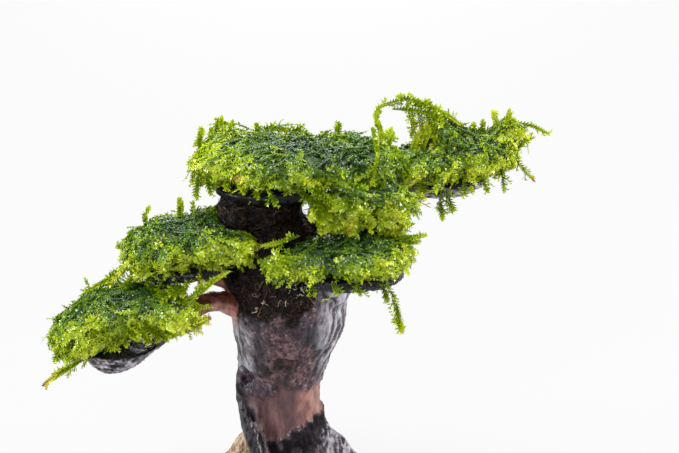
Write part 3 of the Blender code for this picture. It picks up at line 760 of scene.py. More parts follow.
# The long strands: how young the leaves are at the root and at the tip, their size, the number of
# stems that run together, and the route in millimetres.
STRANDS = {
    "moss_crown": [
        (0.55, 0.70, 1.2, 3, [(-18.1, 4, 99.3), (-17.8, 5, 102.8), (-17.4, 5, 105.4)]),
        (0.55, 0.70, 1.1, 2, [(-15.8, 4, 100.4), (-15, 5, 103.9)]),
        (0.55, 0.70, 1.1, 2, [(-20, 4, 98.5), (-20.2, 5, 102.5)]),
        (0.62, 0.74, 1.1, 3, [(-22.7, 2, 97.3), (-22.8, 2, 101.1), (-22.2, 2, 104.1)]),
        (0.55, 0.66, 1.0, 2, [(-7.4, 6, 99.7), (-8.6, 6, 103.6)]),
        (0.55, 0.66, 0.25, 1, [(-11.7, 5, 100.4), (-4.5, 6, 102.8), (2.5, 6, 103.3), (6.1, 5, 100.4)]),
        (0.55, 0.66, 0.4, 1, [(-8.5, 5, 100.9), (-2.2, 5, 103.6), (1.5, 5, 101.5)]),
        (0.55, 0.70, 1.1, 2, [(-10, 5, 101), (-5, 6, 101.8), (-0.5, 6, 102)]),
        (0.55, 0.66, 1.0, 2, [(-1.5, 6, 101.3), (2, 6, 101.8), (5, 6, 100.6)]),
        (0.5, 0.62, 1.1, 2, [(12, 6, 99.2), (13.3, 6, 103.4)]),
        (0.62, 0.70, 0.9, 2, [(21.2, 3, 103.5), (22.6, -6, 99.4), (21.1, -9, 92.4)]),
        (0.62, 0.70, 1.1, 2, [(25.4, 4, 97.8), (26.8, 5, 101.6)]),
        (0.62, 0.74, 1.2, 3, [(-22.6, -8, 96.1), (-23, -8, 92.3), (-23.6, -8, 89)]),
        (0.62, 0.74, 1.2, 3, [(-21.2, -9, 95.9), (-20.3, -9, 93), (-19.6, -9, 90.3)]),
        (0.62, 0.74, 1.1, 2, [(-22.4, -6, 98.1), (-23.8, -7, 95.2), (-24.4, -7, 92.2)]),
        (0.55, 0.70, 1.1, 2, [(-19.2, -9, 94.9), (-18.8, -9, 91.6)]),
        (0.55, 0.70, 1.1, 2, [(-15.8, -11, 95.1), (-15.1, -12, 92.4)]),
        (0.55, 0.66, 1.1, 2, [(-12, -12, 94.9), (-11.3, -13, 91.6)]),
        (0.55, 0.66, 1.1, 2, [(-8.5, -13, 94.2), (-7.5, -14, 90.9)]),
        (0.55, 0.62, 1.1, 3, [(-4.5, -14, 93), (-3.3, -15, 89.3)]),
        (0.5, 0.62, 1.2, 4, [(0.8, -14, 93.5), (4.5, -14.5, 91.3), (7.8, -14.5, 89), (10.5, -14, 85.1)]),
        (0.5, 0.62, 1.2, 4, [(3, -14, 94.6), (8.5, -14.5, 91.6), (11.5, -14.5, 88.2)]),
        (0.5, 0.62, 1.1, 3, [(14.3, -14, 91.4), (16, -13.5, 87.2)]),
    ],
    "moss_drape": [
        (0.5, 0.62, 1.1, 4, [(14.3, -13, 93.9), (16.8, -13, 93.4), (19.5, -13, 93.1)]),
        (0.5, 0.62, 1.2, 4, [(3.1, -14, 92.7), (6, -15, 88.8), (8.5, -16, 84.9)]),
        (0.55, 0.70, 1.0, 3, [(27.1, -5, 88.2), (31.4, -4, 87.5), (34.8, -4, 86.7)]),
        (0.8, 0.95, 0.5, 1, [(27.9, -5, 85.5), (28.9, -5, 80.2)]),
        (0.64, 0.95, 0.4, 1, [(28, 0, 85), (31.7, 1, 82.3), (34.1, 1, 80.6)]),
        (0.64, 0.95, 0.5, 1, [(29.6, 1, 86), (33.2, 1, 84.2), (36.4, 1, 82.4)]),
        (0.64, 0.95, 0.4, 1, [(29, 1, 84.5), (30.4, 1, 81.6)]),
        (0.64, 0.95, 0.5, 1, [(31, 1, 86.3), (34.8, 1, 85.6)]),
    ],
    "moss_upper_right": [
        (0.62, 0.74, 1.0, 2, [(24.7, 3, 89.3), (26.3, 5, 92.4), (25.6, 8, 95.7), (24, 10, 98.3),
                             (22.8, 11, 101), (22.4, 12, 103.8), (23.6, 12.5, 106.2), (27, 12.5, 107.3)]),
        (0.62, 0.74, 1.0, 2, [(25.5, 4, 91), (26, 7, 94.6), (24.2, 10, 98.9), (23.2, 11.5, 102.5)]),
        (0.62, 0.74, 1.1, 3, [(24, 12.5, 106.2), (29.9, 12.5, 108), (33.8, 12.5, 106.8), (38, 12.5, 104.8),
                             (41.7, 13, 103), (44.9, 13.5, 100.4)]),
        (0.62, 0.70, 1.2, 3, [(26.6, 12, 105.6), (33.3, 11.5, 105.2), (37.5, 12, 103.4), (40.7, 12.5, 101.2),
                             (43.1, 12.5, 98.8)]),
        (0.62, 0.70, 1.1, 3, [(30, 13.5, 106.3), (36, 13.5, 105.4), (40, 14, 103), (44.5, 14.5, 99.5)]),
        (0.62, 0.74, 1.1, 2, [(29.1, 12, 106.8), (28.5, 12, 109.2)]),
        (0.62, 0.74, 1.0, 1, [(32.7, 12, 107), (31.2, 12, 109.3)]),
        (0.62, 0.74, 1.1, 2, [(36.4, 12, 106), (35.3, 12, 108.2)]),
        (0.74, 0.74, 1.2, 3, [(31.8, 12, 105.5), (32.2, 11.5, 101.8), (31.6, 11, 98.6)]),
        (0.64, 0.74, 1.2, 3, [(28.5, 8, 91.5), (30.7, 9, 93.8), (32, 10, 95.6)]),
        (0.74, 0.74, 1.2, 3, [(31.5, 9, 93.5), (32.6, 10, 96.5), (33, 10.5, 99.4)]),
        (0.72, 0.74, 1.2, 3, [(34.5, 10, 94.5), (35.3, 10.5, 98), (36, 11, 101)]),
        (0.72, 0.74, 1.2, 3, [(38, 11, 96), (38.5, 11.5, 100), (38, 12, 103.5)]),
        (0.74, 0.74, 1.1, 2, [(31, 12, 107), (31.3, 11.5, 103.8), (32, 11, 101.2)]),
        (0.74, 0.74, 1.2, 3, [(33.3, 12, 107), (33.9, 11.5, 103.3), (34.4, 11, 99.6)]),
        (0.74, 0.74, 1.2, 3, [(35.7, 12, 106), (36.5, 11.5, 102.8), (36, 11, 99.1)]),
        (0.74, 0.74, 1.2, 3, [(37.8, 12, 104.8), (38.6, 11.5, 101.7), (38.2, 11, 98.6)]),
        (0.72, 0.74, 1.2, 3, [(40, 12, 103.4), (40.6, 11.5, 100.2), (40, 11, 97.5)]),
        (0.62, 0.70, 1.0, 2, [(26.5, 6, 99.2), (25, 7.5, 101.2)]),
        (0.62, 0.74, 1.1, 3, [(47, 14, 98.5), (48.2, 14, 100.6)]),
        (0.62, 0.74, 1.1, 3, [(50.5, 14, 98.5), (50.3, 14, 101.6)]),
        (0.62, 0.74, 1.2, 3, [(54.3, 13, 94.5), (56.7, 13, 100.1), (57.4, 13, 104.8)]),
        (0.62, 0.74, 1.2, 3, [(55.8, 13, 96.7), (53.8, 13, 101.7), (53, 14, 104.1)]),
        (0.62, 0.74, 1.1, 2, [(56.8, 13, 95.5), (57.9, 13, 98.6), (57.4, 13, 102.4)]),
        (0.62, 0.74, 1.0, 2, [(59.4, 14, 101.4), (65, 14, 99.4), (67.9, 14, 97.8)]),
        (0.62, 0.70, 0.9, 2, [(58.3, 13, 92.5), (61.3, 13, 95.9), (63.9, 13, 97.3)]),
        (0.62, 0.86, 1.0, 2, [(58.3, 13, 93.2), (61.4, 13, 88.1), (64.4, 13, 85.2)]),
        (0.55, 0.70, 1.1, 2, [(54.6, 9, 90.9), (55.8, 9, 87.6), (56.2, 9, 83.9)]),
        (0.55, 0.66, 1.2, 3, [(40, 3, 87.1), (41.4, 3, 83.7), (42.7, 3, 80.6)]),
        (0.55, 0.70, 1.2, 3, [(39.2, 3, 85.9), (39.3, 3, 82), (39.7, 3, 78.1)]),
        (0.55, 0.70, 1.1, 3, [(36, 4, 88.5), (34.5, 2.5, 85.5)]),
        (0.55, 0.70, 1.1, 3, [(45, 5, 88.5), (45.8, 3.5, 85)]),
        (0.55, 0.70, 1.1, 3, [(50, 6, 88.5), (51.5, 4.5, 85.5)]),
    ],
    "moss_lower_right": [
        (0.55, 0.70, 1.1, 3, [(27.5, -8, 75.5), (30.5, -8, 76), (33, -8, 76.3)]),
        (0.70, 0.76, 1.2, 4, [(24.6, -18, 70.2), (26.3, -19, 66.2), (27.5, -19, 61.2), (28.9, -18, 55.6)]),
        (0.55, 0.66, 1.1, 3, [(23.1, -18, 70.8), (24.2, -18.5, 66.9), (24.7, -18.5, 64.6)]),
        (0.55, 0.66, 1.2, 3, [(5.5, -17, 74.7), (0.5, -18, 75.1), (-4, -19, 76.7)]),
        (0.55, 0.66, 1.1, 3, [(3, -18, 73.5), (-3.1, -19, 72)]),
        (0.55, 0.70, 1.0, 2, [(2.9, -13, 80.2), (-2.1, -14, 78.7), (-6.7, -14, 77.8)]),
        (0.8, 0.86, 0.3, 1, [(13, -19, 69.5), (11.5, -19, 67.3), (9.7, -19, 64.6)]),
        (0.55, 0.70, 1.1, 2, [(28, -10, 77.5), (31.8, -10, 78.3), (35, -10, 79)]),
        (0.55, 0.66, 1.0, 2, [(27, -7, 79.5), (31.5, -7, 80.8)]),
        (0.55, 0.66, 1.1, 2, [(5.5, -19, 70.5), (6.8, -20, 67.2)]),
        (0.55, 0.66, 1.1, 2, [(11, -20, 70.8), (12.2, -21, 67.6)]),
        (0.55, 0.66, 1.1, 2, [(17, -20, 71), (18, -21, 67.6)]),
    ],
    "moss_middle_left": [
        (0.5, 0.66, 1.0, 3, [(-43.2, -7, 69.4), (-46.8, -8, 66), (-50.3, -8, 63.8), (-52, -9, 63.1)]),
        (0.62, 0.70, 0.7, 1, [(-51.5, -9, 64), (-53, -8, 66.4)]),
        (0.5, 0.62, 1.2, 3, [(-21.6, -6, 82), (-17.9, -6, 85), (-14.8, -5, 87.1)]),
        (0.5, 0.62, 1.2, 3, [(-19.1, -8, 82.5), (-16.1, -6, 83.9), (-13.2, -5, 84.4)]),
        (0.62, 0.74, 1.2, 3, [(-28.2, -3, 81.1), (-28.1, -3, 83.8), (-28.3, -3, 86.3)]),
        (0.62, 0.70, 1.1, 2, [(-37, -3, 78.9), (-37.2, -3, 81.1), (-37.3, -3, 82.4)]),
        (0.62, 0.70, 1.0, 2, [(-34.5, -2, 79.6), (-34.6, -2, 81)]),
        (0.62, 0.70, 1.0, 2, [(-31.4, -2, 80.7), (-31.5, -2, 82)]),
        (0.62, 0.70, 1.0, 2, [(-25.1, -3, 82.2), (-24.5, -3, 84.7)]),
        (0.62, 0.70, 1.0, 2, [(-40.2, -4, 76.2), (-41.6, -4, 77.2)]),
        (0.62, 0.70, 1.0, 2, [(-42, -6, 73.2), (-44.4, -6, 74.5)]),
        (0.62, 0.74, 1.2, 3, [(-42, -8, 70.9), (-44.6, -9, 67.4), (-46.3, -9, 64.6)]),
        (0.62, 0.70, 1.2, 3, [(-38.2, -10, 70.1), (-40.4, -10, 66.7), (-43.1, -10, 63.9)]),
        (0.5, 0.62, 1.1, 3, [(-35.5, -12, 70.4), (-36.1, -12, 67.6), (-35.2, -12, 64.8)]),
        (0.55, 0.66, 1.1, 2, [(-28.7, -14, 70.1), (-28.2, -15, 67.2), (-29.2, -16, 64.3)]),
        (0.55, 0.70, 1.1, 3, [(-25.1, -14, 71.2), (-25.6, -15, 68.3), (-27.2, -16, 64.9)]),
        (0.64, 0.95, 0.9, 2, [(-22.6, -14, 71.7), (-22.4, -15, 68.8), (-23.6, -16, 66.4)]),
    ],
    "moss_lower_left": [
        (0.65, 0.86, 1.2, 3, [(-50.6, -18, 49.6), (-54.1, -19, 47.5), (-58.4, -19, 44.6),
                             (-63.2, -19, 41.3)]),
        (0.55, 0.70, 1.2, 3, [(-56.1, -18, 52.1), (-58.6, -19, 50.6), (-60, -19, 47.7)]),
        (0.55, 0.70, 1.1, 2, [(-60.3, -17, 53), (-60.7, -17, 50.2)]),
        (0.55, 0.66, 1.1, 2, [(-58.2, -18, 50.6), (-57.8, -18, 48.4)]),
        (0.55, 0.86, 1.1, 3, [(-29.8, -18, 56.9), (-25.1, -19, 57.9), (-20.2, -19, 60.1)]),
        (0.55, 0.70, 1.1, 3, [(-31.5, -18, 58.5), (-29, -18.5, 59.4), (-26.8, -18, 60.4)]),
        (0.65, 0.70, 1.0, 3, [(-26.1, -17, 64.2), (-21.2, -17, 67.6), (-15.3, -17, 71.7)]),
        (0.62, 0.70, 1.1, 2, [(-32.3, -14, 68), (-33.3, -15, 66.2), (-31.9, -15, 63.9)]),
        (0.62, 0.70, 1.1, 2, [(-28.6, -14, 67.6), (-29.8, -15, 65.6), (-31.3, -16, 63.2)]),
        (0.55, 0.70, 1.1, 2, [(-46, -20, 54.5), (-45.2, -21, 52.2)]),
        (0.55, 0.70, 1.1, 2, [(-42, -20, 55.5), (-41.2, -21, 53)]),
        (0.55, 0.70, 1.2, 3, [(-36.4, -19, 56), (-35.5, -20, 53.6)]),
        (0.55, 0.70, 1.2, 3, [(-34.4, -18, 57.3), (-32.6, -19.5, 55.4), (-31, -19.5, 53.9)]),
        (0.55, 0.70, 1.2, 3, [(-32.4, -17, 57.6), (-30.6, -19, 56), (-29.4, -19, 55)]),
        (0.64, 0.74, 1.2, 3, [(-42.5, -19, 58), (-40.5, -20, 56.2), (-38.4, -20.5, 54.6)]),
        (0.64, 0.76, 1.2, 3, [(-39.5, -18, 59), (-37.4, -20, 56.4), (-36.2, -20, 54.2)]),
        (0.60, 0.72, 1.2, 3, [(-35.5, -17, 58.5), (-34.2, -19, 56), (-33, -19, 54)]),
        (0.55, 0.70, 1.2, 3, [(-31.5, -12, 66), (-29, -14, 64), (-26, -16, 62.4)]),
        (0.60, 0.72, 1.2, 3, [(-35, -12, 65), (-32, -14.5, 63), (-29, -16, 61.2)]),
    ],
}


def leaf_shape():
    """One leaf along +Y, one unit long, its blade up: a closed, slightly keeled kite of four faces."""
    mesh = bpy.data.meshes.new("leaf")
    corners = [(0.0, 0.0, -0.04), (0.31, 0.40, 0.07), (-0.31, 0.40, 0.07), (0.0, 1.0, -0.12)]
    mesh.from_pydata(corners, [], [(0, 1, 2), (1, 3, 2), (0, 3, 1), (0, 2, 3)])
    blade = mesh.attributes.new("blade", "FLOAT_VECTOR", "POINT")
    for corner, value in zip(corners, blade.data):
        value.vector = (corner[0], corner[1], 0.0)
    return bpy.data.objects.new("leaf", mesh)


def frond_seeds(graph):
    """Where fronds stand on a bed and what their leaves need to know, which way they grow and how far."""
    inputs, spot, chance = graph.inputs, graph.spot, graph.chance
    slope = graph.part(graph.get("GeometryNodeInputNormal"), 2)
    cover = graph.remap(slope, -0.8, -0.2, 0.3)
    clump = graph.remap(graph.speckle(spot, 330.0, 1.0), 0.38, 0.58)
    thick = graph.times(graph.times(cover, inputs["Density"]), graph.times_plus(clump, 0.7, 0.3))
    spread = graph.add("GeometryNodeDistributePointsOnFaces",
                       {"Mesh": inputs["Geometry"], "Density": thick, "Seed": inputs["Seed"]})
    ground = spread.outputs["Normal"]

    # Where on the mat a frond stands: outer is 0 at its heart and 1 at its edge, its sides and its back.
    from_heart = graph.vectors("SUBTRACT", spot, inputs["Heart"])
    share = graph.vectors("DIVIDE", from_heart, inputs["Half Size"])
    edge = graph.remap(graph.vectors("LENGTH", graph.vectors("MULTIPLY", share, FLAT)), 0.5, 0.95)
    steep = graph.remap(graph.part(ground, 2), 0.75, 0.0)
    crest = graph.remap(graph.part(share, 1), -0.05, 0.5)
    outer = graph.maths("MAXIMUM", graph.maths("MAXIMUM", edge, steep), graph.times(crest, 0.85))

    # Which way it grows: over the ground and outwards, the more so at the edge, and lifted a little.
    outwards = graph.vectors("NORMALIZE", graph.vectors("MULTIPLY", from_heart, FLAT))
    pull = graph.scaled(outwards, graph.times_plus(outer, 0.8, 0.2))
    stray = chance((-1.0, -1.0, -1.0), (1.0, 1.0, 1.0), inputs["Seed"], "FLOAT_VECTOR")
    wish = graph.moved(pull, stray, inputs["Scatter"])
    over_ground = graph.vectors("NORMALIZE", graph.flattened(wish, ground))
    rise = graph.times_plus(crest, 0.4, graph.times(inputs["Lift"], chance(0.4, 1.6, 4)))
    aim = graph.moved(over_ground, ground, rise)

    # How long it gets, how old it is, and how free of the bed. Its age carries painted light: it is made
    # younger, so yellower and lighter, at the rim, the steep sides, the back and one side of the mat, partly
    # as young growth and partly as light shining through. A few run long, and a few have withered.
    runner = graph.maths("GREATER_THAN", chance(0.0, 1.0, 10), 0.93)
    withered = graph.maths("GREATER_THAN", chance(0.0, 1.0, 9), 0.985)
    luck = graph.times_plus(runner, 0.35, chance(0.6, 1.25, 3))
    length = graph.times(graph.times(graph.times_plus(outer, -0.1, 1.0), luck), inputs["Frond Length"])
    patch = graph.remap(graph.speckle(spot, 130.0, 2.0), 0.35, 0.65)
    # Painted light: leaves at the rim, the steep sides, the back and the mat's lit side are made younger, so
    # yellower and lighter, partly as young growth and partly as light shining through them.
    youth_and_lit = graph.times_plus(clump, 0.10, graph.times_plus(patch, 0.22, graph.times(outer, 0.48)))
    youth_and_lit = graph.plus(youth_and_lit, graph.vectors("DOT_PRODUCT", share, inputs["Young Side"]))
    youth_and_lit = graph.plus(graph.plus(youth_and_lit, chance(-0.13, 0.13, 5)), inputs["Freshness"])
    youth_and_lit = graph.times_plus(withered, 0.12, graph.maths("MINIMUM", youth_and_lit, YOUNGEST))
    loose = graph.times(chance(0.0, 1.0, 7), graph.times_plus(outer, 0.4, 0.12))
    loose = graph.times_plus(crest, 0.15, graph.times_plus(runner, 0.3, loose))
    facts = {
        "fresh": youth_and_lit,
        "length": length,
        "hang": outer,
        "vigour": graph.times_plus(outer, 0.45, chance(0.55, 0.8, 6)),
        "plump": graph.times_plus(outer, -0.9, 1.7),
        "round": 0.35,
        "loose": loose,
    }
    seeds = spread.outputs["Points"]
    for name, value in facts.items():
        seeds = graph.store(seeds, name, value)
    curl = chance((-1.0, -1.0, -0.6), (1.0, 1.0, 0.6), 8, "FLOAT_VECTOR")
    return graph.store(seeds, "curl", curl, "FLOAT_VECTOR"), aim, length


def sprouts(graph, seeds, aim, length, count):
    """A straight stem of this many points on each seed."""
    line = graph.get("GeometryNodeCurvePrimitiveLine", {"End": (0.0, 0.0, 1.0)})
    stem = graph.get("GeometryNodeResampleCurve", {"Curve": line, "Count": count})
    turn = graph.get("FunctionNodeAlignRotationToVector", {"Vector": aim}, axis="Z")
    stems = graph.get("GeometryNodeInstanceOnPoints",
                      {"Points": seeds, "Instance": stem, "Rotation": turn, "Scale": length})
    return graph.get("GeometryNodeRealizeInstances", {"Geometry": stems})


def tubes(graph, curves, sides, radius, scale):
    """Smooth tubes with closed ends along curves."""
    ring = graph.get("GeometryNodeCurvePrimitiveCircle", {"Resolution": sides, "Radius": radius})
    tube = graph.get("GeometryNodeCurveToMesh",
                     {"Curve": curves, "Profile Curve": ring, "Scale": scale, "Fill Caps": True})
    return graph.get("GeometryNodeSetShadeSmooth", {0: tube})


def weighed_down(graph, fronds, along):
    """Fronds that curl as they grow, bend under their weight at the rim, and cling to the wet mat."""
    bend = graph.times(graph.times(along, along), graph.named("length"))
    weight = graph.times(graph.named("hang"), graph.inputs["Droop"])
    down = graph.scaled((0.0, 0.0, -1.0), graph.times(bend, weight))
    shift = graph.moved(down, graph.named("curl", "FLOAT_VECTOR"), graph.times(bend, 0.5))
    bent = graph.placed(fronds, Offset=shift)
    bed = graph.nearest("Position")
    from_bed = graph.vectors("SUBTRACT", graph.spot, bed)
    height = graph.vectors("LENGTH", from_bed)
    close = graph.maths("MINIMUM", height, graph.inputs["Cling"])
    kept = graph.times_plus(graph.maths("SUBTRACT", height, close), graph.named("loose"), close)
    up = graph.vectors("NORMALIZE", from_bed)
    clung = graph.placed(bent, Position=graph.moved(bed, up, kept))
    return graph.store(clung, "ground", up, "FLOAT_VECTOR")


def leaves(graph, stems, up_stem):
    """Two rows of leaves on each stem, longest a third of the way up and folded in at the tip."""
    dense = graph.get("GeometryNodeResampleCurve", {"Curve": stems, "Length": graph.inputs["Leaf Spacing"]},
                      mode="LENGTH")
    tangent = graph.get("GeometryNodeInputTangent")
    up = graph.named("ground", "FLOAT_VECTOR")
    beside = graph.vectors("NORMALIZE", graph.vectors("CROSS_PRODUCT", tangent, up))
    over = graph.vectors("CROSS_PRODUCT", beside, tangent)
    odd = graph.maths("MODULO", graph.get("GeometryNodeInputIndex"), 2.0)
    side = graph.times_plus(odd, 2.0, -1.0)
    fold = graph.times_plus(graph.maths("POWER", up_stem, 3.0), -0.5, 1.0)
    angle = graph.plus(fold, graph.chance(-0.25, 0.25, 11))
    roundness = graph.named("round")
    roll = graph.times(graph.chance(-1.3, 1.7, 12), roundness)
    sideways = graph.scaled(beside, graph.times(graph.maths("COSINE", roll), side))
    sideways = graph.moved(sideways, over, graph.maths("SINE", roll))
    forward = graph.scaled(tangent, graph.maths("COSINE", angle))
    leaf_way = graph.moved(forward, sideways, graph.maths("SINE", angle))
    jitter = graph.chance((-0.4, -0.4, -0.4), (0.4, 0.4, 0.4), 13, "FLOAT_VECTOR")
    face = graph.moved(graph.vectors("ADD", over, jitter), tangent, graph.times(roundness, 0.8))
    stance = graph.get("FunctionNodeAxesToRotation", {"Primary Axis": leaf_way, "Secondary Axis": face},
                       primary_axis="Y", secondary_axis="Z")
    shape = graph.add("ShaderNodeFloatCurve", {"Value": up_stem})
    points = shape.mapping.curves[0].points
    points[0].location = (0.0, 0.55)
    points[1].location = (1.0, 0.4)
    points.new(0.35, 1.0)
    points.new(0.75, 0.85)
    size = graph.times(shape.outputs[0], graph.chance(0.75, 1.15, 14))
    size = graph.times(graph.times(size, graph.inputs["Leaf Length"]), graph.named("vigour"))
    leaf = graph.add("GeometryNodeObjectInfo", {"Object": graph.inputs["Leaf"]}).outputs["Geometry"]
    rows = graph.get("GeometryNodeInstanceOnPoints",
                     {"Points": dense, "Instance": leaf, "Rotation": stance, "Scale": size})
    return graph.get("GeometryNodeRealizeInstances", {"Geometry": rows})


def frond_growth():
    graph = Growth(
        "moss_fronds", Density="Float", Frond_Length="Float", Leaf_Length="Float", Leaf_Spacing="Float",
        Lift="Float", Scatter="Float", Droop="Float", Cling="Float", Freshness="Float", Young_Side="Vector",
        Heart="Vector", Half_Size="Vector", Leaf="Object", Routes="Object", Seed="Int",
    )
    along = graph.add("GeometryNodeSplineParameter").outputs["Factor"]
    fronds = weighed_down(graph, sprouts(graph, *frond_seeds(graph), FROND_POINTS), along)

    # The long strands come from a mesh of edges, which carries the same facts.
    routes = graph.add("GeometryNodeObjectInfo", {"Object": graph.inputs["Routes"]}).outputs["Geometry"]
    strands = graph.get("GeometryNodeMeshToCurve", {"Mesh": routes})
    stems = graph.store(graph.joined(fronds, strands), "along", along)
    up_stem = graph.named("along")
    thin = graph.get("GeometryNodeResampleCurve", {"Curve": stems, "Length": STEM_STEP * MM}, mode="LENGTH")
    taper = graph.times(graph.times_plus(up_stem, -0.7, 1.1), graph.named("plump"))
    plant = graph.joined(leaves(graph, stems, up_stem), tubes(graph, thin, 4, STEM_RADIUS * MM, taper))

    # The map that the leaf paint reads: how young the frond is, with the painted light at the rim, across it,
    # and how far along it upwards.
    blade = graph.named("blade", "FLOAT_VECTOR")
    across = graph.times_plus(graph.part(blade, 0), 0.12, graph.named("fresh"))
    upwards = graph.times_plus(graph.part(blade, 1), 0.12, graph.times(up_stem, 0.85))
    pair = graph.get("ShaderNodeCombineXYZ", {0: across, 1: upwards})
    graph.finish(graph.store(plant, "OFBake", pair, "FLOAT2", "CORNER"))
    return graph


def leaf_paint():
    """Reads the map: across it from old and dark to young and yellow, with brown at its far end. The young,
    light end also stands for painted light at the rims.
    """
    made, graph, inputs = painted("moss_leaf", (0.05, 0.15, 0.01), 0.22)
    where = graph.get("ShaderNodeUVMap", uv_map="OFBake")
    parts = graph.add("ShaderNodeSeparateXYZ", {0: where}).outputs
    youth_and_lit = graph.plus(parts[0], graph.times_plus(parts[1], 0.26, -0.1))
    ramp = graph.add("ShaderNodeValToRGB", {0: youth_and_lit})
    shades = ramp.color_ramp.elements
    for shade, (position, color) in zip(shades, (LEAF_SHADES[0], LEAF_SHADES[-1])):
        shade.position = position
        shade.color = (*color, 1.0)
    for position, color in LEAF_SHADES[1:-1]:
        shades.new(position).color = (*color, 1.0)
    graph.tree.links.new(ramp.outputs[0], inputs["Base Color"])
    inputs["Specular IOR Level"].default_value = 0.6
    inputs["Coat Weight"].default_value = 0.25
    inputs["Coat Roughness"].default_value = 0.1
    shine = made.node_tree.nodes["Principled BSDF"].outputs[0]
    glow = graph.get("ShaderNodeBsdfTranslucent", {"Color": ramp.outputs[0]})
    both = graph.get("ShaderNodeMixShader", {0: LEAF_GLOW, 1: shine, 2: glow})
    graph.tree.links.new(both, made.node_tree.nodes["Material Output"].inputs["Surface"])
    return made


def smooth_route(points, step):
    """Points about step apart on a smooth curve through points."""
    ends = [2.0 * points[0] - points[1], *points, 2.0 * points[-1] - points[-2]]
    route = []
    for before, start, stop, after in zip(ends, ends[1:], ends[2:], ends[3:]):
        count = max(2, round((stop - start).length / step))
        for number in range(count):
            t = number / count
            bow = 2.0 * start + (stop - before) * t
            bow = bow + (2.0 * before - 5.0 * start + 4.0 * stop - after) * t * t
            bow = bow + (3.0 * start - before - 3.0 * stop + after) * t * t * t
            route.append(bow * 0.5)
    return route + [points[-1]]


def bundle(points, stems):
    """The routes of a strand: its stems, which wander about each other, and the sprigs beside them."""
    spine = smooth_route([Vector(point) * MM for point in points], ROUTE_STEP * MM)
    for stem in range(stems):
        skipped = round(0.18 * stem * len(spine))
        shift = Vector((3.7, 9.1, 5.3)) * stem
        wander = [noise.noise_vector(spot * 160.0 + shift) * 0.9 * MM * min(stem, 1) for spot in spine]
        yield [spot + step for spot, step in zip(spine, wander)][skipped:], 0.0
    every = round(SPRIG_SPACING / ROUTE_STEP)
    for number in range(every, len(spine) - 1, every):
        ahead = (spine[number + 1] - spine[number - 1]).normalized()
        chosen = noise.noise_vector(spine[number] * 700.0)
        aside = (chosen - ahead * chosen.dot(ahead)).normalized()
        reach = SPRIG_LENGTH * (0.6 + 0.5 * noise.noise(spine[number] * 900.0)) * MM
        tip = spine[number] + (ahead * 0.8 + aside * 0.8) * reach
        middle = spine[number] + (ahead * 0.3 + aside * 0.5) * reach
        yield [spine[number], middle, tip], number / len(spine)


def strand_routes(mat):
    """The long strands of a mat as a mesh of edges, with the facts that its leaves read."""
    mesh = bpy.data.meshes.new(mat + "_routes")
    spots, edges, fresh, vigour = [], [], [], []
    for root_youth, tip_youth, leafy, stems, points in STRANDS[mat]:
        for route, start in bundle(points, stems):
            edges += [(len(spots) + number, len(spots) + number + 1) for number in range(len(route) - 1)]
            spots += route
            shares = [start + (1.0 - start) * number / (len(route) - 1) for number in range(len(route))]
            fresh += [root_youth + (tip_youth - root_youth) * share for share in shares]
            vigour += [leafy] * len(route)
    mesh.from_pydata(spots, edges, [])
    whole = [1.0] * len(spots)
    for name, values in (("fresh", fresh), ("vigour", vigour), ("round", whole), ("plump", whole)):
        mesh.attributes.new(name, "FLOAT", "POINT").data.foreach_set("value", values)
    held = mesh.attributes.new("ground", "FLOAT_VECTOR", "POINT")
    held.data.foreach_set("vector", [0.0, -0.8, 0.7] * len(spots))
    return bpy.data.objects.new(mat + "_routes", mesh)


def frond_piece(mat, graph, leaf, finish, seed):
    fronds = bpy.data.objects.new(mat + "_fronds", beds[mat].data.copy())
    bpy.context.scene.collection.objects.link(fronds)
    low, high = (Vector(corner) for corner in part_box(mat))
    routes = strand_routes(mat)
    freshness, young_lit_side = FRESHNESS[mat]
    graph.grow(
        fronds, Density=FROND_DENSITY / MM ** 2, Frond_Length=FROND_LENGTH * MM,
        Leaf_Length=LEAF_LENGTH * MM, Leaf_Spacing=LEAF_SPACING * MM, Lift=0.4, Scatter=0.8, Droop=0.5,
        Cling=0.7 * MM, Freshness=freshness, Young_Side=Vector(young_lit_side), Heart=(low + high) / 2.0,
        Half_Size=(high - low) / 2.0, Leaf=leaf, Routes=routes, Seed=seed, Material=finish,
    )
    bpy.data.objects.remove(routes)
    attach(fronds, "root")
    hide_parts(mat)


noise.seed_set(STRAND_SEED)
frond_nodes = frond_growth()
frond_finish = leaf_paint()
leaf = leaf_shape()
for seed, mat in enumerate(MATS):
    frond_piece(mat, frond_nodes, leaf, frond_finish, seed)
bpy.data.objects.remove(leaf)


# Rhizoids. The brown root hairs of the moss, felted over the black neck of the stem, with a few
# bleached curls where they have come loose. Geometry Nodes scatter them over the wood.
FIBRE_DENSITY = 1.5
FIBRE_LENGTH = 2.2
FIBRE_RADIUS = 0.15
FIBRE_POINTS = 6
FIBRE_CURL = 4.0


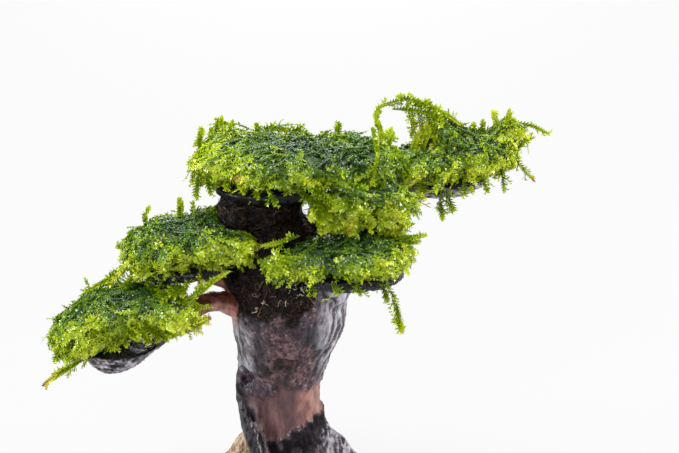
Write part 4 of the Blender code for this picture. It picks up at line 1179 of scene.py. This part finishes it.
def fibre_growth():
    graph = Growth("rhizoids", Density="Float", Length="Float", Radius="Float", Curl="Float")
    inputs, chance = graph.inputs, graph.chance
    thick = graph.times(graph.named("neck"), inputs["Density"])
    spread = graph.add("GeometryNodeDistributePointsOnFaces",
                       {"Mesh": inputs["Geometry"], "Density": thick, "Seed": 5})
    wish = chance((-1.0, -1.0, -1.4), (1.0, 1.0, 0.6), 1, "FLOAT_VECTOR")
    aim = graph.flattened(wish, spread.outputs["Normal"])
    loose = graph.maths("MAXIMUM", graph.times(graph.named("wisps"), chance(-0.4, 1.0, 2)), 0.0)
    brown = graph.times(graph.maths("POWER", chance(0.0, 1.0, 3), 3.0), 0.66)
    seeds = graph.store(spread.outputs["Points"], "loose", loose)
    seeds = graph.store(seeds, "tone", graph.plus(brown, loose))
    length = graph.times(chance(0.5, 1.3, 4), inputs["Length"])
    hairs = sprouts(graph, seeds, aim, length, FIBRE_POINTS)

    # A hair swirls away from its root, and is held down on the wood, the less so the looser it is.
    along = graph.add("GeometryNodeSplineParameter").outputs["Factor"]
    swirl = graph.speckle(graph.spot, 620.0, 1.0, output="Color")
    swirl = graph.vectors("SUBTRACT", swirl, (0.5, 0.5, 0.5))
    sway = graph.times(inputs["Curl"], graph.maths("MINIMUM", graph.times(along, 3.0), 1.0))
    hairs = graph.placed(hairs, Offset=graph.scaled(swirl, sway))
    skin = graph.nearest("Position")
    off_wood = graph.vectors("SUBTRACT", graph.spot, skin)
    room = graph.times_plus(graph.named("loose"), 1.6 * MM, 0.4 * MM)
    height = graph.maths("MINIMUM", graph.vectors("LENGTH", off_wood), room)
    hairs = graph.placed(hairs, Position=graph.moved(skin, graph.vectors("NORMALIZE", off_wood), height))
    girth = graph.times_plus(graph.named("loose"), 0.6, 0.8)
    girth = graph.times(girth, graph.times_plus(along, -0.6, 1.0))
    graph.finish(tubes(graph, hairs, 3, inputs["Radius"], girth))
    return graph


def root_hair():
    made, graph, inputs = painted("root_hair", (0.02, 0.01, 0.006), 0.35)
    ramp = graph.add("ShaderNodeValToRGB", {0: graph.attribute("tone")})
    shades = ramp.color_ramp.elements
    shades[0].color = (0.003, 0.002, 0.002, 1.0)
    shades[1].color = (0.460, 0.420, 0.300, 1.0)
    shades.new(0.40).color = (0.018, 0.008, 0.005, 1.0)
    shades.new(0.62).color = (0.110, 0.060, 0.028, 1.0)
    graph.tree.links.new(ramp.outputs[0], inputs["Base Color"])
    inputs["Specular IOR Level"].default_value = 0.3
    return made


rhizoids = bpy.data.objects.new("neck_rhizoids", wood.data.copy())
bpy.context.scene.collection.objects.link(rhizoids)
fibre_growth().grow(
    rhizoids, Density=FIBRE_DENSITY / MM ** 2, Length=FIBRE_LENGTH * MM, Radius=FIBRE_RADIUS * MM,
    Curl=FIBRE_CURL * MM, Material=root_hair(),
)
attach(rhizoids, "root")
